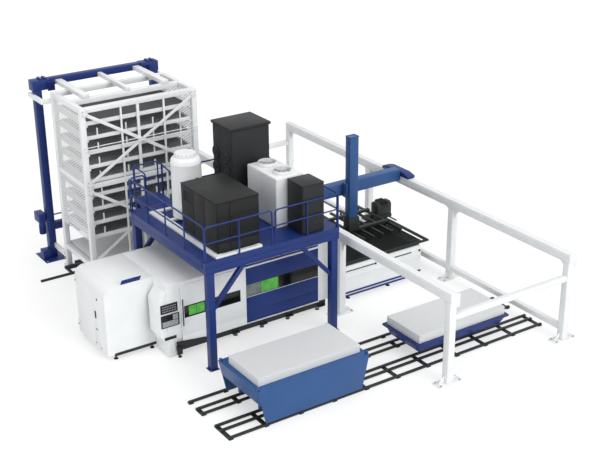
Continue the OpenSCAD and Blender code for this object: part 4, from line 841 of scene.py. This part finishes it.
def dress_chiller():
    lo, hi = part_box("chiller")
    skin, seam, eave = 0.014, 0.012, 0.006
    core = block((lo.x + skin, lo.y + skin, lo.z), (hi.x, hi.y, hi.z - 0.03))
    lid = block((lo.x - eave, lo.y - eave, hi.z - 0.028), (hi.x + eave, hi.y + eave, hi.z))
    far = (hi.x, hi.y, hi.z - 0.034)
    covers = plates(lo, far, "-X", (0.33, 0.64), (), seam, skin)
    covers += plates((lo.x + skin + 0.004, lo.y, lo.z), far, "-Y", (0.3,), (0.2,), seam, skin)
    # The chiller's rounded edges take the lighter charcoal: a painted highlight.
    finish(soften_all([core, lid] + covers, 0.004), "chiller_housing", (ANTHRACITE, CHARCOAL),
           stands_for=["chiller"])
    window = block((lo.x - 0.004, hi.y - 0.43, hi.z - 0.42), (lo.x + 0.004, hi.y - 0.13, hi.z - 0.15))
    window = soften(recess(window, facing(x=-1), 0.012, 0.003), 0.002, 1)
    finish(window, "chiller_window", RUBBER)
    grilles = [louvre((lo.x - 0.006, y0, lo.z + 0.06), (lo.x + 0.004, y1, lo.z + 0.42), "-X", 11)
               for y0, y1 in ((lo.y + 0.07, lo.y + 0.55), (lo.y + 0.63, lo.y + 1.1),
                              (lo.y + 1.18, hi.y - 0.05))]
    grilles.append(louvre((lo.x + 0.42, lo.y - 0.006, lo.z + 0.05), (hi.x - 0.06, lo.y + 0.004, lo.z + 0.22),
                          "-Y", 6))
    painted(join(grilles), "chiller_louvres", "black_paint")
    latches = [block((lo.x + 0.39, lo.y - 0.012, z), (lo.x + 0.415, lo.y + 0.004, z + 0.12))
               for z in (lo.z + 0.45, lo.z + 0.95)]
    finish(soften_all(latches, 0.005), "chiller_latches", PLASTIC)


def dress_filter():
    lo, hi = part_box("filter_unit")
    x0, x1, y0, y1, roof = lo.x + 0.045, hi.x - 0.038, lo.y + 0.032, hi.y - 0.032, hi.z - 0.07
    core = block((x0 + 0.004, y0 + 0.012, lo.z), (x1, y1, roof))
    slab = block((x0 - 0.038, lo.y, roof), (hi.x, hi.y, hi.z))
    far = (x1, y1, roof - 0.02)
    covers = plates((x0, y0, lo.z + 0.02), far, "-Y", (), (0.12,), 0.012, 0.012)
    covers += plates((x0, y0 + 0.016, lo.z + 0.02), far, "-X", (), (0.3,), 0.01, 0.004)
    painted(soften_all([core, slab] + covers, 0.005), "filter_housing", "dark_paint",
            stands_for=["filter_unit"])
    lid = turned([(0.171, 0), (0.171, 0.018), (0.16, 0.026), (0.14, 0.026), (0.132, 0.016), (0.05, 0.016),
                  (0.045, 0.036), (0.034, 0.042)], (0, 0, 0), sides=36)
    lid.data.transform(TO_LEFT)
    depth, rise = y1 - y0 - 0.02, roof - lo.z
    spots = [(x0, y0 + cy * depth, lo.z + cz * rise) for cy in (0.33, 0.87) for cz in (0.46, 0.65)]
    finish(join(copies(lid, spots)), "filter_cartridge_lids", (BLACK, BLACK_EDGE))


def dress_small_cabinet():
    lo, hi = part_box("small_cabinet")
    skin, eave, seam = 0.012, 0.004, 0.01
    core = block((lo.x + skin, lo.y + skin, lo.z), (hi.x, hi.y, hi.z - 0.02))
    cap = block((lo.x - eave, lo.y - eave, hi.z - 0.02), (hi.x + eave, hi.y + eave, hi.z))
    far = (hi.x, hi.y, hi.z - 0.026)
    covers = plates((lo.x + 0.016, lo.y, lo.z + 0.03), far, "-Y", (), (), seam, skin)
    covers += plates((lo.x, lo.y + 0.016, lo.z + 0.03), far, "-X", (), (), seam, skin)
    painted(soften_all([core, cap] + covers, 0.004), "small_cabinet_housing", "dark_paint",
            stands_for=["small_cabinet"])
    grip = block((hi.x - 0.09, lo.y - 0.014, lo.z + 0.62), (hi.x - 0.065, lo.y + 0.002, lo.z + 0.76))
    finish(soften(grip, 0.005), "small_cabinet_latch", PLASTIC)
    blades = louvre((lo.x + 0.12, lo.y - 0.005, lo.z + 0.08), (hi.x - 0.12, lo.y + 0.004, lo.z + 0.24), "-Y", 6)
    painted(blades, "small_cabinet_louvre", "black_paint")


def dress_tank():
    lo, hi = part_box("air_tank")
    axis = ((lo.x + hi.x) / 2, (lo.y + hi.y) / 2, lo.z)
    r, h, bead = (hi.x - lo.x) / 2, 1.54, 0.003
    wall = [(r * 0.9, 0), (r, 0.02), (r, 0.3), (r + bead, 0.305), (r + bead, 0.325), (r, 0.33), (r, h - 0.06),
            (r + bead, h - 0.055), (r + bead, h - 0.035), (r, h - 0.03)]
    dome = [(r * share, h + rise) for share, rise in (
        (0.99, 0.02), (0.95, 0.06), (0.88, 0.088), (0.78, 0.11), (0.73, 0.12), (0.73, 0.135), (0.69, 0.137),
        (0.69, 0.15), (0.73, 0.152), (0.73, 0.2), (0.7, 0.21), (0.2, 0.222))]
    painted(turned(wall + dome, axis, sides=64), "air_tank_shell", "white_paint", stands_for=["air_tank"])
    ring = 0.71 * r
    flange = [(axis[0] + ring * math.cos(t), axis[1] + ring * math.sin(t), axis[2] + h + 0.199)
              for t in row(0, 2 * math.pi * 15 / 16, 16)]
    finish(nuts_at(flange, 0.011), "tank_flange_nuts", STEEL)
    dial = turned([(0.05, 0), (0.055, 0.006), (0.055, 0.03), (0.048, 0.034), (0.046, 0.03)],
                  (0, 0, 0), sides=24)
    place = Matrix.Translation((axis[0] + 0.1, axis[1] - r + 0.004, axis[2] + 1.1))
    dial.data.transform(place @ TO_FRONT)
    finish(dial, "tank_gauge", PLASTIC)


def dress_cooler():
    lo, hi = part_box("cooler")
    wire, reach = 0.005, 0.238
    wires = []
    for name in ("fan_a", "fan_b"):
        fan_lo, fan_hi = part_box(name)
        hub = Vector(((fan_lo.x + fan_hi.x) / 2, (fan_lo.y + fan_hi.y) / 2, hi.z + 0.003))
        for ring in (0.06, 0.12, 0.18, 0.235):
            bpy.ops.object.select_all(action="DESELECT")
            bpy.ops.mesh.primitive_torus_add(location=hub, major_radius=ring, minor_radius=wire,
                                             major_segments=40, minor_segments=6)
            wires.append(set_in_place(bpy.context.object))
        for turn in row(0, 0.75 * math.pi, 4):
            spoke = Vector((math.cos(turn), math.sin(turn), 0)) * reach
            wires.append(bent_tube([hub - spoke, hub + spoke], wire, sides=1))
    finish(join(wires), "cooler_fan_guards", (WHITE,))
    far = (hi.x, hi.y, hi.z - 0.11)
    covers = plates((lo.x - 0.006, lo.y, lo.z + 0.03), far, "-X", (0.5,), (0.24,), 0.012, 0.006)
    covers += plates((lo.x, lo.y - 0.006, lo.z + 0.03), far, "-Y", (), (0.24,), 0.012, 0.006)
    painted(soften_all(covers, 0.003, 1), "cooler_covers", "white_paint")
    for name in ("fan_a", "fan_b"):
        dress(name, 0.004, 1)


# Storage tower and lift

def dress_tower():
    lo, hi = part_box("tower_mesh")
    mid, beam, stretch = 3.05, 0.14, 1.75
    upright = Matrix.Rotation(math.pi / 2, 4, "Z") @ TO_FRONT
    screens = []
    for z0, z1 in ((lo.z, mid), (mid + beam, hi.z)):
        screen = lattice((hi.y - lo.y) / stretch, z1 - z0, 0.055, 0.02, 0.004)
        screen.data.transform(Matrix.Scale(stretch, 4, (1, 0, 0)))
        screen.data.transform(upright)
        screens += copies(screen, [(x, (lo.y + hi.y) / 2, (z0 + z1) / 2) for x in (lo.x + 0.003, hi.x - 0.003)])
    painted(join(screens), "tower_expanded_screens", "white_paint", stands_for=["tower_mesh"])

    near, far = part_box("cassette_decks")
    edge, count = 0.01, 9
    levels = row(near.z + 0.03, far.z, count)
    grid = lattice(far.x - near.x - 2 * edge, far.y - near.y - 2 * edge, 0.11, 0.042, 0.006)
    grids = copies(grid, [((near.x + far.x) / 2, (near.y + far.y) / 2, z + 0.004) for z in levels[:-1]])
    finish(join(grids), "cassette_gratings", GRATING)
    # A dark plate over the top deck: painted shade, so that the lit top level reads as dark as the shaded
    # levels below.
    sheet = block((near.x + edge, near.y + edge, far.z + 0.001), (far.x - edge, far.y - edge, far.z + 0.009))
    finish(soften(sheet, 0.002, 1), "cassette_top_painted_shade_sheet", TOP_PLATE_PAINTED_SHADE)

    left, right, front = lo.x - 0.012, hi.x + 0.012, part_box("tower_frame")[0].y + 0.025
    rod, gusset, bolt, gauge, half = 0.012, 0.09, 0.055, 0.006, 0.075
    rods = [bent_tube([(left, front - rod, z), (right, front - rod, z)], rod, sides=2) for z in (4.2, 4.28)]
    finish(join(rods), "tower_tie_rods", (WHITE,))
    gussets, bolts = [], []
    for x in (left + 0.12, right - 0.12):
        for z in (0.84, 2.98, 3.2, 5.26):
            gussets.append(block((x - gusset, front - gauge, z - gusset),
                                 (x + gusset, front + 0.001, z + gusset)))
            bolts += [(x + dx, front - gauge, z + dz) for dx in (-bolt, bolt) for dz in (-bolt, bolt)]
    painted(soften_all(gussets, 0.004, 1), "tower_brace_gussets", "white_paint")
    finish(nuts_at(bolts, 0.012, "-Y"), "tower_brace_nuts", STEEL)
    columns = [(x, y) for x in (left + half, right - half) for y in (lo.y - half, hi.y + half)]
    finish(nuts_at(around(columns, 0.1, 0.1), 0.015), "tower_anchor_nuts", STEEL)
    rail = soften(block((left + 0.25, hi.y - 0.02, 0), (right - 0.25, hi.y + 0.1, 0.09)), 0.004)
    painted(rail, "tower_back_rail", "black_paint")


def dress_lift():
    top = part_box("lift_frame")[1].z
    beam_lo, beam_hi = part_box("lift_beam")
    shaft_lo, shaft_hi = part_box("lift_shaft")
    xa, xb = beam_lo.x - 0.11, beam_hi.x + 0.11
    back = beam_hi.y + 0.01
    chains = [block((x - 0.02, back, shaft_hi.z + 0.06), (x + 0.02, back + 0.014, 5.25)) for x in (xa, xb)]
    painted(soften_all(chains, 0.003, 1), "lift_chain_guards", "black_paint")
    axle = (shaft_lo.z + shaft_hi.z) / 2
    middle = ((shaft_lo.x + shaft_hi.x) / 2, (shaft_lo.y + shaft_hi.y) / 2, axle)
    # A little thinner than the solid, so that its facets turn freely in the bearings
    ease = 0.0008
    bar = drum(middle, shaft_hi.z - axle - ease, shaft_hi.x - shaft_lo.x, "X", 48)
    finish(soften(bar, 0.003, 1), "lift_drive_shaft", STEEL, BODY_OF["lift_shaft"], ["lift_shaft"])
    motor = (xa - 0.25, back - 0.11, axle - 0.42)
    fin = turned([(0.094, 0), (0.104, 0.002), (0.104, 0.008), (0.094, 0.01)], motor, sides=28)
    painted(join(copies(fin, [(0, 0, 0.024 * i) for i in range(11)])), "lift_motor_fins", "blue_paint")
    heads = []
    for x, side in ((xa + 0.37, 1), (xb - 0.3, -1)):
        heads.append(block((x - 0.1, back - 0.31, top - 0.34), (x + 0.12, back - 0.2702, top - 0.06)))
        rib = block((x - 0.1, back - 0.35, top - 0.32), (x - 0.085, back - 0.31, top - 0.08))
        heads += copies(rib, [(0.035 * i, 0, 0) for i in range(6)])
        for lug in (x - side * 0.12, x - side * 0.26):
            heads.append(block((lug - 0.04, back - 0.26, top + 0.0005), (lug + 0.04, back + 0.02, top + 0.045)))
    painted(soften_all(heads, 0.004, 1), "lift_head_drives", "blue_paint")
    spots = [(x + dx, y, BASE_PLATE) for x, left in ((xa, -0.32), (xb, -0.16)) for dx in (left, 0.22)
             for y in (back - 0.46, back + 0.3)]
    finish(nuts_at(spots, 0.018), "lift_anchor_nuts", STEEL)


# Floor track and carts

def dress_track():
    post_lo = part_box("gantry_posts")[0]
    zero_x, zero_y = post_lo.x + 0.375, post_lo.y + 0.16
    rails = [zero_y + 0.86 + 1.87 * share for share in (0, 0.2, 0.325, 0.665, 0.8, 1)]
    first, pitch, count = zero_x - 5.7, 0.966, 11
    jaws = [block((-0.03, y, 0.02), (0.03, y + 0.02, 0.05)) for y in (-0.055, 0.035)]
    clips = copies(soften_all(jaws, 0.003, 1), [(first + pitch * i, y, 0) for i in range(count) for y in rails])
    painted(join(clips), "track_rail_clips", "black_paint")


def dress_carts():
    count, edge, gap, tread = 8, 0.005, 0.0004, 0.05
    for stack, body in (("stack_a", "tall_cart"), ("stack_b", "low_cart")):
        lo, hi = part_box(stack)
        thick = (hi.z - lo.z) / count
        sheets = []
        for i in range(count):
            dx, dy = 0.004 * math.sin(i * 2.3), 0.003 * math.cos(i * 1.7)
            sheets.append(block((lo.x + edge + dx, lo.y + edge + dy, lo.z + i * thick + gap),
                                (hi.x - edge + dx, hi.y - edge + dy, lo.z + (i + 1) * thick - gap)))
        finish(soften_all(sheets, 0.0025, 1), stack + "_sheets", SHEET, body, [stack])
    for cart, body in (("cart_a", "tall_axle_1"), ("cart_a", "tall_axle_2"),
                       ("cart_b", "low_axle_1"), ("cart_b", "low_axle_2")):
        number = body[-1]
        solid = cart + "_wheels_" + number
        lo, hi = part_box(solid)
        r, x, z = (hi.z - lo.z) / 2, (lo.x + hi.x) / 2, (lo.z + hi.z) / 2
        wheel = turned([(r * 0.55, 0), (r * 0.93, 0.003), (r, 0.008), (r, 0.042), (r * 0.93, 0.047),
                        (r * 0.55, tread)], (0, 0, 0), "Y", 40)
        ends = copies(wheel, [(x, y, z) for y in (lo.y, hi.y - tread)])
        bar = drum((x, (lo.y + hi.y) / 2, z), 0.0245, hi.y - lo.y - 2 * tread, "Y", 24)
        bolts = [(x + 0.022 * math.cos(t), lo.y, z + 0.022 * math.sin(t)) for t in row(0, 4.19, 3)]
        hub = nuts_at(bolts, 0.006, "-Y")
        finish(join(ends + [bar, hub]), cart + "_wheelset_" + number, (BLACK,), body, [solid])


dress_gantry()
dress_bridge()
dress_door()
dress_strip_window()
dress_console()
dress_machine_foot()
dress_cabinet()
dress_table()
dress_platform()
dress_chiller()
dress_filter()
dress_small_cabinet()
dress_tank()
dress_cooler()
dress_tower()
dress_lift()
dress_track()
dress_carts()

# Rounded edges on the solids that keep their shape

for name, width in {
        "gantry_posts": 0.012, "gantry_rails": 0.012, "gantry_ties": 0.01, "end_carriages": 0.02,
        "suction_frame": 0.006, "machine_base": 0.008, "cabin_walls": 0.008, "front_panels": 0.006,
        "blue_panels": 0.005, "console_housing": 0.02, "cabinet_shell": 0.006, "table_frame": 0.012,
        "pallet_frame": 0.006, "shuttle_drive": 0.012, "platform_frame": 0.006, "platform_deck": 0.002,
        "platform_stair": 0.003, "unit_skid": 0.005, "cooler": 0.01, "tower_frame": 0.006, "cassettes": 0.005,
        "lift_frame": 0.008, "lift_beam": 0.008, "floor_track": 0.004, "cart_b": 0.008,
        "machine_bed": 0.006, "cutting_bridge": 0.008, "head_carriage": 0.008, "cutting_head": 0.004,
        "levelling_feet": 0.003}.items():
    dress(name, width)
# The deck plate's grey is lifted as painted light for the shaded lower levels.
softened("cassette_decks", 0.003, (DECK, DECK))
# The cobalt's lighter tone on the bridge, mast and tall cart is partly painted light.
for name, width in (("bridge_beam", 0.012), ("lift_mast", 0.012), ("cart_a", 0.006)):
    softened(name, width, (COBALT, COBALT_EDGE))
